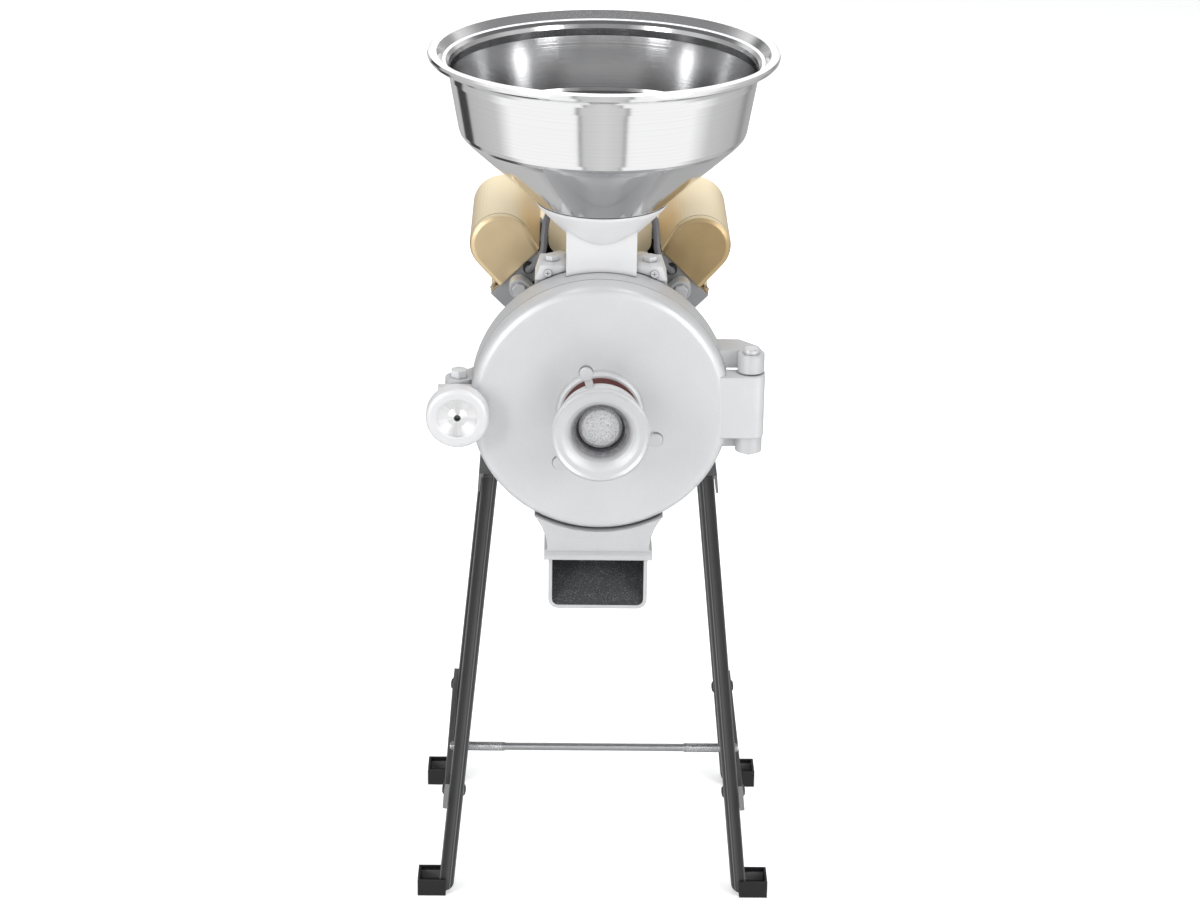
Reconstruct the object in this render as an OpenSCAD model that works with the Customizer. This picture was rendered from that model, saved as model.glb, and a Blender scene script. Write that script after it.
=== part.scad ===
// Grain mill: a direct-drive disc mill with a spun hopper, on four splayed legs.
// Millimetres. +Z is up, the hinged cover faces -Y, and the shaft runs along Y.

/* [Stand] */
// Height of the shaft above the floor
axis_z = 472; // [460:1:500]
// Outer edge of a leg from the middle, at its top
leg_top_x = 93.6; // [90:0.2:96]
// Lean of each leg from the vertical, degrees
leg_splay = 5.7; // [4:0.1:6.5]
// Width of the leg channel, along the shaft
leg_w = 22; // [18:1:26]
// Depth of the leg channel
leg_depth = 12.5; // [10:0.5:15]
// Sheet of the legs
leg_t = 2; // [1.5:0.1:3]
// Outer radius of the bend at the foot
leg_bend = 10; // [6:1:12]
// Reach of a foot, out from the foot of the leg
foot_len = 15.4; // [12:0.2:22]
// Front legs' middle, behind the hopper axis
front_leg_y = 13; // [12:1:20]
// Distance between front and rear legs
leg_pitch = 197; // [180:1:210]
// Sheet of the base bracket
base_t = 3; // [2:0.5:4]
// Height of the tie rod above the floor
tie_z = 138; // [100:1:200]
// Height of the side braces above the floor
brace_z = 97; // [75:1:120]
// Wall of a rubber boot
boot_wall = 2; // [1.5:0.1:2.5]
// Sole of a rubber boot
boot_sole = 3; // [2:0.5:5]

/* [Head] */
// Radius of the grinding chamber casting
body_r = 102; // [98:1:106]
// Wall of the chamber rim
chamber_wall = 9; // [6:0.5:12]
// Parting face in front of the hopper axis
head_front = 40; // [38:1:44]
// Depth of the chamber behind the parting face
chamber_depth = 26; // [25:1:28]
// Rear wall of the chamber
rear_wall = 6; // [4:0.5:7]
// Depth of the cover in front of the parting face
cover_depth = 20; // [18:0.5:24]
// Skin of the cover
cover_skin = 7; // [5:0.5:8]
// Rounding of the cover's front edge
cover_round = 8; // [3:0.5:8]
// Distance from the hopper axis back to the motor flange
flange_y = 34; // [32:1:40]
// Bore of the feed tube
feed_r = 27; // [25:0.5:28]

/* [Hinge and clamp] */
// Hinge pin to the right of the chamber casting
hinge_out = 15.5; // [14:0.5:20]
// Hinge pin in front of the hopper axis
hinge_front = 45; // [44:0.5:48]
// Radius of the hinge pin
hinge_pin_r = 4.5; // [3.5:0.1:5.5]
// Upper edge of the cover's hinge arm above the shaft
arm_top = 28.5; // [24:0.5:32]
// Lower edge of the cover's hinge arm below the shaft
arm_low = 22; // [18:0.5:26]
// Clamp to the left of the chamber casting
clamp_out = 8.8; // [8:0.2:14]
// Clamp pivot in front of the hopper axis
clamp_front = 34; // [32:0.5:35]
// Radius of the clamp's threaded shank
clamp_r = 4; // [3.5:0.1:4.5]
// Radius of the handwheel
wheel_r = 24.6; // [20:0.2:27]
// Length of the handwheel
wheel_len = 20; // [16:1:24]

/* [Spout] */
// Width over the spout's mouth
spout_w = 79; // [70:1:82]
// Width over the lip above the mouth
lip_w = 86; // [83:1:92]
// Width of the neck above the lip
spout_neck = 81; // [78:1:83]
// Half width of the flare under the cover
spout_flare = 58; // [50:1:60]
// Depth of the spout below the shaft
spout_drop = 170; // [160:1:180]
// Lower edge of the lip below the shaft
lip_drop = 126; // [123:1:132]
// Wall of the spout
spout_wall = 3; // [2:0.5:4]

/* [Feed throat] */
// Width of the neck
neck_w = 55; // [50:1:60]
// Depth of the neck, front to back
neck_d = 50; // [46:1:54]
// Width of the bolted foot of the throat
foot_w = 96; // [92:1:100]
// Rise of the bolted foot above the chamber casting
foot_rise = 1; // [0.5:0.1:4]
// Radius of the dish under the hopper
dish_r = 51; // [46:1:56]
// Height of the dish's rim above the shaft
dish_top = 154; // [150:1:158]

/* [Hopper] */
// Radius of the hopper's rolled rim
hopper_r = 135; // [128:1:140]
// Height of the rim above the shaft
hopper_top = 275; // [270:1:285]
// Radius of the bowl under the flange
bowl_top_r = 118.5; // [114:0.5:122]
// Radius of the bowl above the cone
bowl_low_r = 111.5; // [106:0.5:113]
// Height of the bowl's straight wall
bowl_h = 41; // [36:1:48]
// Rise of the cone for each millimetre of radius
cone_slope = 0.925; // [0.9:0.005:0.95]
// Radius of the hopper's spigot
spigot_r = 18.5; // [15:0.5:18.5]
// Sheet of the hopper
hopper_t = 1.2; // [0.8:0.1:1.5]

/* [Grinding discs] */
// Radius of the grinding discs
disc_r = 78; // [70:1:82]
// Thickness of the rotating disc
disc_t = 12; // [10:0.5:12]
// Thickness of the stationary disc
still_t = 10; // [8:0.5:10]
// Gap between the discs at rest
disc_gap = 1.5; // [1.4:0.1:2]
// Number of furrow sectors on each disc
sectors = 12; // [8:1:16]

/* [Adjusting knob] */
// Radius over the knob's front rim
knob_r = 38; // [34:0.5:42]
// Front of the knob ahead of the cover's face
knob_out = 52.5; // [50:0.5:58]
// Radius of the threaded shank
shank_r = 24; // [22:0.5:26]
// Pitch of the adjusting thread
thread_pitch = 3; // [2:0.5:4]
// Radius of the pressure spindle
spindle_r = 17; // [14:0.5:17.5]

/* [Motor] */
// Radius over the cooling fins
motor_r = 78; // [76:1:80]
// Length of the finned housing
housing_len = 146; // [140:1:160]
// Length of the front end shield
shield_len = 20; // [18:1:24]
// Length of the rear end shield
rear_len = 18; // [17:1:24]
// Length of the fan cover behind the rear shield
fan_len = 57; // [50:1:70]
// Radius of the shaft
shaft_r = 12.5; // [11:0.5:14]
// Radius of the circle of the shield's tie bolts
tie_r = 92; // [90:0.5:92]
// Half width of the terminal box
box_half = 42; // [38:1:43]
// Height of the terminal box
box_h = 61; // [50:1:66]
// Length of the terminal box
box_len = 76; // [70:1:90]

/* [Capacitors] */
// Outer radius of a capacitor cover
cap_r = 25; // [23:0.5:26]
// Length of a capacitor cover
cap_len = 110; // [100:1:120]
// Sheet of the covers
cap_t = 1.2; // [0.8:0.1:1.5]
// Distance of the capacitor seat from the shaft
seat_w = 100.5; // [98:0.1:103]

/* [Hidden] */
$fn = 64;

// Clearances
fit = 0.3;         // pieces that lie beside each other
run = 0.08;        // pins and shafts in their bores
thread_gap = 0.4;  // a plain bore standing round a thread
over = 1;          // how far a cut runs past a face

// Colours
silver = [0.86, 0.86, 0.86];
gold = [0.80, 0.68, 0.46];
steel = [0.75, 0.75, 0.77];
zinc = [0.70, 0.71, 0.73];
black = [0.10, 0.10, 0.11];
rubber = [0.06, 0.06, 0.06];
iron = [0.35, 0.35, 0.37];
copper = [0.72, 0.42, 0.25];
grey = [0.72, 0.73, 0.74];

// Stations along the shaft, measured from the hopper axis
part_y = -head_front;
face_y = part_y - cover_depth;
wall_y = part_y + chamber_depth;
back_y = wall_y + rear_wall;
housing_y = flange_y + shield_len;
rear_y = housing_y + housing_len;
fan_y = rear_y + rear_len;
end_y = fan_y + fan_len;
mid_y = (end_y - hopper_r) / 2;

// Grinding gap
runner_back_y = wall_y - 6;
runner_front_y = runner_back_y - disc_t;
still_back_y = runner_front_y - disc_gap;
still_front_y = still_back_y - still_t;
carrier_t = 6;
carrier_r = 40;
carrier_y = still_front_y - carrier_t;
eye_r = 30;
disc_hub_r = 17.5;
screw_pitch = 30;
furrow_w = 4;
furrow_depth = 2.5;

// Rim, chamber and bolts of the head
chamber_r = body_r - chamber_wall;
cover_r = body_r - 0.3;
tube_wall = 8;
tube_r = feed_r + tube_wall;
motor_flange_r = 66;
motor_flange_t = 8;
body_bolt_r = 54;
seal_r = 20;
seal_len = 8;
m8 = 4;
m6 = 3;
m5 = 2.5;
m3 = 1.5;
foot_stud_x = 41.7;
m8_af = 12.5;
m6_af = 10;
m8_head = 7;
m6_head = 5;
foot_top = body_r + foot_rise;
foot_joint = foot_top - 12;
foot_slope = 4;
foot_y0 = -12;
foot_y1 = 18;
throat_bolt_x = 38.5;
chute_x = 21;
chute_y0 = back_y + 2;
chute_y1 = foot_y1 - 3;

// Knob and its nut
knob_y = face_y - knob_out;
flare_y = knob_y + 16;
boss_r = 33.5;
boss_out = 6;
nut_y = flare_y + 3.5;
nut_t = 9;
nut_r = 33;
nut_lug_r = 44;
nut_lug = 5.2;
seal_t = 1.2;

// Spout
flare_low = 12;
spout_corner = 8;
lip_h = 6;

// Clamp
clamp_x = body_r + clamp_out;
wheel_y = face_y;
plate_in = 12;
plate_out = 18;
eye_out = 9.5;
lug_half = 17;
lug_r = -face_y - clamp_front - fit;

// Hinge
hinge_x = body_r + hinge_out;
ear_r = 10.5;
knuckle_r = 11;
ear_gap = 1;
ear_top = 44;
ear_bottom = -37;
hinge_y = -hinge_front;

// Motor
fin_h = 6;
fins = 36;
housing_r = motor_r - fin_h;
housing_in = housing_r - 6;
bearing_r = 26;
bearing_len = 15;
race_t = 4;
seal_in = 1.5;
ear_round = 8;
stack_y0 = housing_y + 26;
stack_y1 = rear_y - 30;
rotor_r = 38;
air_gap = 0.6;
rear_ear_y = rear_y + 9;
foot_x = 76;
foot_h = 8;
motor_feet = [housing_y + 20, rear_y - 28];
pad_h = motor_r + 1;
box_y = housing_y + 34;
box_round = 11;
box_t = 2;
lid_h = 6;
switch_x = 16;
switch_w = 13;
switch_h = 19;
gland_x = -18;
gland_r = 9;
gland_bore = 5;
gland_len = 18;
outlet_z = 26;

// Capacitors: u runs along the seat, w away from the shaft
cap_u = 11.5;
cap_w = seat_w + cap_r - 0.5;
cap_base = [-15, 31];
cap_y = housing_y + 4;
seat_u = [-24, 26];
seat_y = housing_y + 6;
seat_len = 12;
cap_lip = 8;
cap_seats = [seat_y, cap_y + cap_len - seat_len - 3];
cap_screw_y = [for (y = cap_seats) y + seat_len / 2];
lead_u = 14;
lead_w = seat_w - 5;
lead_r = 2.75;
grommet_r = 4.6;
grommet_t = 4;
lead_box_x = 33;
lead_box_z = 128;
lead_points = [[33, 80, 128], [38, 70, 128], [43, 60, 119], [45, 52, 107], [46, 49, 95],
    [52, 48, 84], [57, 51, 78]];

// Stand
motor_low = axis_z - motor_r;
leg_top_z = motor_low - base_t;
foot_z = boot_sole;
foot_lip = 9;
boot_h = 15;
foot_end = leg_x(foot_z) + foot_len;
stand_half = foot_end + boot_wall + fit;
boot_x = stand_half - 24;
lip_in = leg_depth * cos(leg_splay);
tab_len = 24;
flange_drop = 14;
base_half = leg_top_x + 2.6;
base_front = front_leg_y - 15;
base_back = front_leg_y + leg_pitch + 13;
leg_bolt_x = leg_top_x - lip_in - 11;
brace_t = 4;
brace_h = 20;
brace_over = 6;

// Switch, leads and legs, from the values above
switch_z = pad_h + outlet_z + 8;
rocker_r = 12;
rocker_in = 3;
lead_start = [lead_box_x, box_y - grommet_t - 0.05, lead_box_z];
lead_end = [(lead_w - lead_u) * sqrt(0.5), seat_y - grommet_t - 0.05, (lead_w + lead_u) * sqrt(0.5)];
lead_route = concat([lead_start], lead_points, [lead_end - [0, 4, 0], lead_end]);
tie_rod_r = 3.8;
tie_end = leg_x(tie_z) + 3;
tie_thread = 46;
rear_leg_y = front_leg_y + leg_pitch;
front_bearing_y = flange_y + 4;
rear_bearing_y = rear_y - 7;
fan_seat_r = 8;
screw_len = flange_y - seal_len - 6 - runner_back_y;

// ---------------------------------------------------------------- helpers

// Point list of an arc, from a0 to a1 in degrees
function arc(c, r, a0, a1, n = 6) =
    [for (i = [0:n]) c + r * [cos(a0 + (a1 - a0) * i / n), sin(a0 + (a1 - a0) * i / n)]];
function mirrored(p) = [for (i = [len(p) - 1:-1:0]) [-p[i][0], p[i][1]]];
function reversed(p) = [for (i = [len(p) - 1:-1:0]) p[i]];
function unit(v) = v / norm(v);
// Left-hand normal of a path at point i
function path_normal(p, i) =
    let (d = unit(p[min(i + 1, len(p) - 1)] - p[max(i - 1, 0)])) [-d[1], d[0]];
function shifted(p, t) = [for (i = [0:len(p) - 1]) p[i] + t * path_normal(p, i)];
// Outer edge of a leg at height z
function leg_x(z) = leg_top_x + (leg_top_z - z) * tan(leg_splay);
// Inner face of a leg's web at height z, and the centre of the leg's bend
function web_x(z) = leg_x(z) - leg_depth / cos(leg_splay);
bend_c = [web_x(foot_z + leg_bend * (1 - sin(leg_splay))) + leg_bend * cos(leg_splay),
    foot_z + leg_bend];

module at_axis() translate([0, 0, axis_z]) children();
module placed() translate([0, -mid_y, 0]) children();
// A cylinder along Y
module ycyl(r, y0, y1) translate([0, y0, 0]) rotate([-90, 0, 0]) cylinder(h = y1 - y0, r = r);
// A revolve about Y of a profile drawn as [radius, y]
module yrev() rotate([-90, 0, 0]) rotate_extrude(convexity = 6) children();
// Extrusions of [x, z] outlines along Y and of [y, z] outlines along X
module ypoly(y0, y1) translate([0, y1, 0]) rotate([90, 0, 0])
    linear_extrude(y1 - y0, convexity = 6) children();
module xpoly(w) rotate([90, 0, 90]) translate([0, 0, -w / 2])
    linear_extrude(w, convexity = 6) children();
// Copies on a circle about the shaft, angles counted from +X towards +Z
module ring(n, r, a0 = 0) for (i = [0:n - 1]) rotate([0, -a0 - i * 360 / n, 0])
    translate([r, 0, 0]) children();
module both_sides() { children(); mirror([1, 0, 0]) children(); }
module at_legs() for (y = [front_leg_y, front_leg_y + leg_pitch]) translate([0, y, 0]) children();
// Hexagon-headed bolt along +Z: the head sits on z = 0 and the shank runs down
module hex_bolt(r, len, af, head) {
    rotate([0, 0, 30]) cylinder(h = head, r = af / 2 / cos(30), $fn = 6);
    translate([0, 0, -len]) cylinder(h = len + head / 2, r = r);
}
module hex_nut(r, af, h) difference() {
    cylinder(h = h, r = af / 2 / cos(30), $fn = 6);
    translate([0, 0, -over]) cylinder(h = h + 2 * over, r = r);
}
// Pan-headed screw along +Z with a cross recess
module pan_screw(r, len) difference() {
    union() {
        cylinder(h = r, r = 1.9 * r);
        translate([0, 0, -len]) cylinder(h = len + r / 2, r = r);
    }
    for (a = [0, 90]) rotate([0, 0, a]) translate([-1.2 * r, -r / 6, r / 2]) cube([2.4 * r, r / 3, r]);
}

// ---------------------------------------------------------------- head

// Right half of the spout from the front: flared flanks, a lip band, then the straight mouth
function spout_half(inset, neck, lip) =
    let (flare = spout_flare - 1.6 * inset, low = spout_w / 2 - inset, corner = spout_corner - inset,
         z0 = flare_low - chamber_r, z1 = lip_h + 2 - lip_drop)
    concat([for (t = [0:0.125:1]) [neck + (flare - neck) * pow(1 - t, 2), z0 + (z1 - z0) * t]],
        [[lip, lip_h - lip_drop], [lip, -lip_drop], [low, -lip_drop]],
        arc([low - corner, corner + inset - spout_drop], corner, 0, -90, 4));
module spout_front(inset, neck, lip) let (s = spout_half(inset, neck, lip))
    polygon(concat(s, mirrored(s)));

module spout_outer() intersection() {
    ypoly(face_y - 4, back_y - 4) spout_front(0, spout_neck / 2, lip_w / 2);
    xpoly(2 * spout_flare) polygon([[back_y - 4, flare_low - chamber_r], [face_y, flare_low - chamber_r],
        [face_y, lip_h - lip_drop], [face_y - 3.5, lip_h - 2 - lip_drop], [face_y - 3.5, -lip_drop],
        [face_y, -lip_drop], [face_y, -spout_drop], [face_y + 3, -spout_drop],
        [back_y - 4, -body_r - 22]]);
}
module spout_inner() intersection() {
    ypoly(face_y - 6, back_y - 4) spout_front(spout_wall, spout_w / 2 - spout_wall,
        spout_w / 2 - spout_wall);
    xpoly(2 * spout_flare) polygon([[face_y - 5, -lip_drop - 0.5], [face_y + spout_wall, -lip_drop - 0.5],
        [face_y + spout_wall, -body_r - 6], [part_y + 4, -body_r - 6],
        [part_y + 4, -chamber_r + 8], [wall_y - 1, -chamber_r + 8],
        [wall_y - 1, -body_r - 18], [face_y + 1, -spout_drop + spout_wall],
        [face_y - 5, -spout_drop + spout_wall]]);
}
module hinge_ear(z0, z1) translate([0, 0, z0]) linear_extrude(z1 - z0) {
    translate([hinge_x, hinge_y]) circle(ear_r);
    polygon([[body_r - 18, back_y - 6], [body_r - 18, part_y + 0.5], [hinge_x - 9, part_y + 0.5],
        [hinge_x, hinge_y], [hinge_x + ear_r, hinge_y], [hinge_x + 6, hinge_y + 16],
        [hinge_x - 8, back_y - 6]]);
}
module clevis_plate() linear_extrude(plate_out - plate_in) difference() {
    union() {
        translate([-clamp_x, -clamp_front]) circle(eye_out + 1.5);
        polygon([[-clamp_x, -clamp_front - eye_out - 1.5 + 2], [2 - body_r, part_y + 0.5],
            [2 - body_r, back_y - 4], [-clamp_x, -clamp_front + eye_out + 1.5]]);
    }
    translate([-clamp_x, -clamp_front]) circle(clamp_r + run);
}
module body_drum() yrev() polygon(concat([[0, part_y], [body_r, part_y]],
    arc([body_r - 6, back_y - 6], 6, 0, 90), [[0, back_y]]));
module mill_body() color(silver) at_axis() difference() {
    union() {
        body_drum();
        ycyl(tube_r + 3, back_y - 1, flange_y);
        ycyl(motor_flange_r, flange_y - motor_flange_t, flange_y);
        // Block that carries the feed throat
        translate([-foot_w / 2 - foot_slope, back_y - 1, tube_r / 2])
            cube([foot_w + 2 * foot_slope, foot_y1 - back_y + 1, foot_joint - tube_r / 2]);
        hinge_ear(arm_top + ear_gap, ear_top);
        hinge_ear(ear_bottom, -arm_low - ear_gap);
        for (m = [0, 1]) mirror([0, 0, m]) translate([0, 0, plate_in]) clevis_plate();
    }
    // Chamber, less the collar that leads the feed tube up to the rotating disc
    difference() {
        ycyl(chamber_r, part_y - over, wall_y);
        ycyl(feed_r + 5, runner_back_y + 0.6, wall_y + over);
    }
    ycyl(feed_r, runner_back_y - over, flange_y - seal_len - 2);
    ycyl(shaft_r + 1, wall_y, flange_y + over);
    ycyl(seal_r, flange_y - seal_len, flange_y + over);
    translate([-chute_x, chute_y0, 0]) cube([2 * chute_x, chute_y1 - chute_y0, foot_joint + over]);
    // Room for the eye of the clamp to swing
    translate([-clamp_x, -clamp_front, -plate_in]) cylinder(h = 2 * plate_in, r = eye_out + fit);
    spout_inner();
    for (z = [ear_bottom, arm_top]) translate([hinge_x, hinge_y, z - 2])
        cylinder(h = 24, r = hinge_pin_r + run);
    for (x = [-throat_bolt_x, throat_bolt_x]) translate([x, 3, foot_joint - 16])
        cylinder(h = 20, r = m6 + run);
    ring(4, body_bolt_r, 45) ycyl(m8 + run, flange_y - motor_flange_t - over, flange_y + over);
}

// Flared spout under the drum, part of the same casting
module discharge_spout() color(silver) at_axis() difference() {
    spout_outer();
    ycyl(body_r + 1, face_y - 10, part_y);
    body_drum();
    spout_inner();
}

module cover() color(silver) at_axis() difference() {
    union() {
        yrev() polygon(concat([[0, face_y - boss_out], [boss_r - 1.5, face_y - boss_out],
            [boss_r, face_y - boss_out + 1.5], [boss_r, face_y]],
            arc([cover_r - cover_round, face_y + cover_round], cover_round, -90, 0),
            [[cover_r, part_y - fit], [chamber_r, part_y - fit], [chamber_r, face_y + cover_skin],
            [0, face_y + cover_skin]]));
        // Hinge arm
        translate([0, 0, -arm_low]) linear_extrude(arm_top + arm_low) {
            translate([hinge_x, hinge_y]) circle(knuckle_r);
            polygon(concat([[cover_r - 20, face_y + 4], [cover_r - 6, face_y]],
                arc([hinge_x + 2, face_y + 9], 9, -90, 0), [[hinge_x + knuckle_r, hinge_y],
                [hinge_x, hinge_y + knuckle_r / 2], [hinge_x - 8, part_y - 1],
                [cover_r - 6, part_y - 1], [cover_r - 6, face_y + 4]]));
        }
        // Slotted clamp lug
        translate([0, 0, -lug_half]) linear_extrude(2 * lug_half) intersection() {
            union() {
                translate([-clamp_x, -clamp_front]) circle(lug_r);
                translate([-clamp_x, face_y + fit]) square([clamp_x - cover_r + 12, 12]);
            }
            translate([-clamp_x - 16, face_y + fit]) square([clamp_x - cover_r + 28, 12]);
        }
    }
    ycyl(shank_r + thread_gap, face_y - 20, face_y + 20);
    // Inside of the cover stays clear of the lug's root
    ycyl(chamber_r, face_y + cover_skin, part_y + over);
    translate([-clamp_x - 30, face_y - 4, -clamp_r - 1.2])
        cube([30 + clamp_r + 2, 30, 2 * clamp_r + 2.4]);
    translate([hinge_x, hinge_y, -arm_low - over])
        cylinder(h = arm_top + arm_low + 2 * over, r = hinge_pin_r + run);
    yrev() polygon([[chamber_r + 2.5, part_y - 2.2], [chamber_r + 6.5, part_y - 2.2],
        [chamber_r + 6.5, part_y], [chamber_r + 2.5, part_y]]);
    ring(2, 34, 0) ycyl(m6 + 0.02, face_y + 3, face_y + 20);
}
module cover_gasket() color(rubber) at_axis() yrev() polygon([[chamber_r + 2.6, part_y - 2.1],
    [chamber_r + 6.4, part_y - 2.1], [chamber_r + 6.4, part_y - 0.1], [chamber_r + 2.6, part_y - 0.1]]);
module guide_pins() color(steel) at_axis() ring(2, 34, 0) ycyl(m6, face_y + 3.1, carrier_y + 2.5);
module hinge_pin() color(zinc) at_axis() translate([hinge_x, hinge_y, 0]) {
    translate([0, 0, ear_bottom - 3]) cylinder(h = ear_top - ear_bottom + 4, r = hinge_pin_r);
    translate([0, 0, ear_top + 0.1]) rotate_extrude() polygon([[0, 0], [6.2, 0], [6.2, 3], [5.2, 4],
        [0, 4]]);
}

// ---------------------------------------------------------------- feed

function cone_z(r) = dish_top - (dish_r - r) * cone_slope;
module feed_throat() color(silver) at_axis() difference() {
    union() {
        rotate_extrude() polygon([[0, cone_z(spigot_r) - 6], [spigot_r, cone_z(spigot_r) - 6],
            [dish_r - 6, dish_top - 9], [dish_r - 0.6, dish_top - 3], [dish_r + 0.4, dish_top - 1],
            [dish_r + 0.6, dish_top], [0, dish_top]]);
        translate([-neck_w / 2, -neck_d / 2, foot_top - 10])
            cube([neck_w, neck_d, cone_z(neck_w * 0.6) - foot_top + 10]);
        ypoly(foot_y0, foot_y1) polygon([[-foot_w / 2 - foot_slope, foot_joint],
            [foot_w / 2 + foot_slope, foot_joint], [foot_w / 2, foot_top], [-foot_w / 2, foot_top]]);
    }
    ycyl(body_r + fit, part_y - over, back_y + 0.2);
    // Seat of the hopper's cone and the way for its spigot, as one revolve
    rotate_extrude() polygon([[0, foot_top + 8], [spigot_r + fit, foot_top + 8],
        [spigot_r + fit, cone_z(spigot_r + fit) - fit], [dish_r + 5, cone_z(dish_r + 5) - fit],
        [dish_r + 5, dish_top + 20], [0, dish_top + 20]]);
    xpoly(2 * chute_x) polygon([[chute_y0 - 10, foot_top + 12], [chute_y0, foot_top + 1],
        [chute_y0, foot_joint - over], [chute_y1, foot_joint - over], [chute_y1, foot_top + 12]]);
    both_sides() {
        translate([throat_bolt_x, 3, foot_joint - over]) cylinder(h = 20, r = m6 + run);
        translate([foot_stud_x, 0, foot_top - 6]) ycyl(m3 + run, foot_y0 - over, foot_y0 + 10);
    }
}
module throat_bolts() color(zinc) at_axis() both_sides() {
    translate([throat_bolt_x, 3, foot_top + 0.05]) hex_bolt(m6, 26, m6_af, 4);
    translate([foot_stud_x, foot_y0 - 0.05, foot_top - 6]) rotate([90, 0, 0]) pan_screw(m3, 8);
}

// Outside of the hopper from the spigot up to the rolled rim
function hopper_path() =
    let (z0 = cone_z(spigot_r), zc = cone_z(bowl_low_r - 4), zw = zc + 7, zt = zw + bowl_h)
    concat([[spigot_r, foot_top + 8 + fit], [spigot_r, z0]],
        [[bowl_low_r - 7, cone_z(bowl_low_r - 7)], [bowl_low_r - 3, zc + 1.3],
        [bowl_low_r - 1, zc + 4], [bowl_low_r, zw]],
        [[bowl_top_r, zt]], arc([bowl_top_r + 6.5, zt + 5], 6.5, 172, 96, 3),
        [[hopper_r - hopper_t - 5, hopper_top - 3.2]],
        arc([hopper_r - hopper_t - 3, hopper_top - 3.8], 3, 60, -60, 4));
module hopper() color(steel) at_axis() let (p = hopper_path())
    rotate_extrude($fn = 96) polygon(concat(p, reversed(shifted(p, hopper_t))));

// ---------------------------------------------------------------- adjuster and discs

function thread_profile(y0, y1) = [for (i = [0:floor((y1 - y0) / thread_pitch) - 1],
    q = [[0, 0], [0.25, -1.2], [0.5, 0]]) [shank_r + q[1], y0 + (i + q[0]) * thread_pitch + 0.5]];
module adjusting_knob() color(silver) at_axis() yrev() polygon(concat(
    [[spindle_r + thread_gap, carrier_y - fit]],
    [[spindle_r + thread_gap, knob_y + 22], [spindle_r + 1.8, knob_y + 22],
    [spindle_r + 1.8, knob_y + 13]],
    arc([knob_r - 4, knob_y + 14], 12.5, 180 + 6, 270, 5), [[knob_r - 1.5, knob_y], [knob_r, knob_y + 1.5],
    [knob_r, knob_y + 4]],
    [for (t = [0.25:0.25:1]) [knob_r - (knob_r - shank_r) * sqrt(t), knob_y + 4 + 12 * t]],
    thread_profile(flare_y, carrier_y - 2), [[shank_r - 1, carrier_y - fit]]));
module dust_seal() color([0.6, 0.1, 0.08]) at_axis()
    difference() {
        ycyl(shank_r + 6, face_y - boss_out - seal_t, face_y - boss_out - 0.05);
        ycyl(shank_r + thread_gap, face_y - 20, face_y);
    }
module lock_nut() color(silver) at_axis() difference() {
    union() {
        yrev() polygon([[0, nut_y], [nut_r - 1.5, nut_y], [nut_r, nut_y + 1.5],
            [nut_r, nut_y + nut_t - 1.5], [nut_r - 1.5, nut_y + nut_t], [0, nut_y + nut_t]]);
        ring(3, nut_lug_r, 105) ycyl(nut_lug, nut_y + 0.5, nut_y + nut_t - 0.5);
        ring(3, nut_r, 105) translate([-2, nut_y + 1, -2.8]) cube([nut_lug_r - nut_r, nut_t - 2, 5.6]);
    }
    ycyl(shank_r + thread_gap, nut_y - over, nut_y + nut_t + over);
}
module pressure_spindle() color(steel) at_axis() difference() {
    yrev() polygon(concat([[0, still_front_y - 0.05], [carrier_r, still_front_y - 0.05],
        [carrier_r, carrier_y], [spindle_r, carrier_y], [spindle_r, knob_y + 19]],
        [[spindle_r - 2.5, knob_y + 17.2], [spindle_r - 8, knob_y + 15.8], [0, knob_y + 15]]));
    ring(2, 34, 0) ycyl(m6 + run, carrier_y - over, still_front_y + over);
    ring(3, 34, 90) ycyl(m5 + run, carrier_y - over, still_front_y + over);
}
// Furrows: slanted grooves in sectors, cut into the face at y = 0 towards +Y
module furrows(hand) for (i = [0:sectors - 1]) rotate([0, i * 360 / sectors, 0])
    for (k = [0:2]) translate([eye_r + 2 + 4 * k, -over, 5 * k + 2])
        rotate([0, hand * 24, 0]) translate([0, 0, -furrow_w / 2])
            cube([disc_r - eye_r - 12 + 3 * (2 - k) - 8 * k, furrow_depth + over, furrow_w * 0.6]);
module stationary_disc() color(iron) at_axis() difference() {
    yrev() polygon([[24, still_front_y], [disc_r, still_front_y], [disc_r, still_back_y - 1],
        [disc_r - 1, still_back_y], [eye_r, still_back_y], [24, still_back_y - 4]]);
    translate([0, still_back_y, 0]) mirror([0, 1, 0]) furrows(1);
    ring(3, 34, 90) ycyl(m5 + run, still_front_y - over, still_back_y + over);
    ring(3, 34, 90) ycyl(5.2, still_back_y - 5, still_back_y + over);
}
module stationary_disc_screws() color(zinc) at_axis() ring(3, 34, 90) {
    ycyl(m5, carrier_y - 0.2, still_back_y - 3);
    ycyl(4.9, still_back_y - 4.9, still_back_y - 1.5);
}
module rotating_disc() color(iron) at_axis() difference() {
    union() {
        difference() {
            ycyl(disc_r, runner_front_y, runner_back_y);
            ycyl(eye_r, runner_front_y - over, runner_back_y + over);
        }
        ycyl(disc_hub_r, runner_front_y + 2, runner_back_y);
        ring(3, 0, 30) translate([disc_hub_r - 2, runner_front_y + 3, -4])
            cube([eye_r - disc_hub_r + 4, disc_t - 3, 8]);
    }
    translate([0, runner_front_y, 0]) furrows(-1);
    ycyl(shaft_r + run, runner_front_y + 5, runner_back_y + over);
    ycyl(m8 + run, runner_front_y - over, runner_back_y);
    translate([-3.1, runner_front_y + 5, 0]) cube([6.2, disc_t, shaft_r + 3.1]);
}
module disc_bolt() color(zinc) at_axis() {
    translate([0, runner_front_y + 1.95, 0]) rotate([90, 0, 0]) hex_bolt(m8, 24, m8_af, 4);
}
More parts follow.
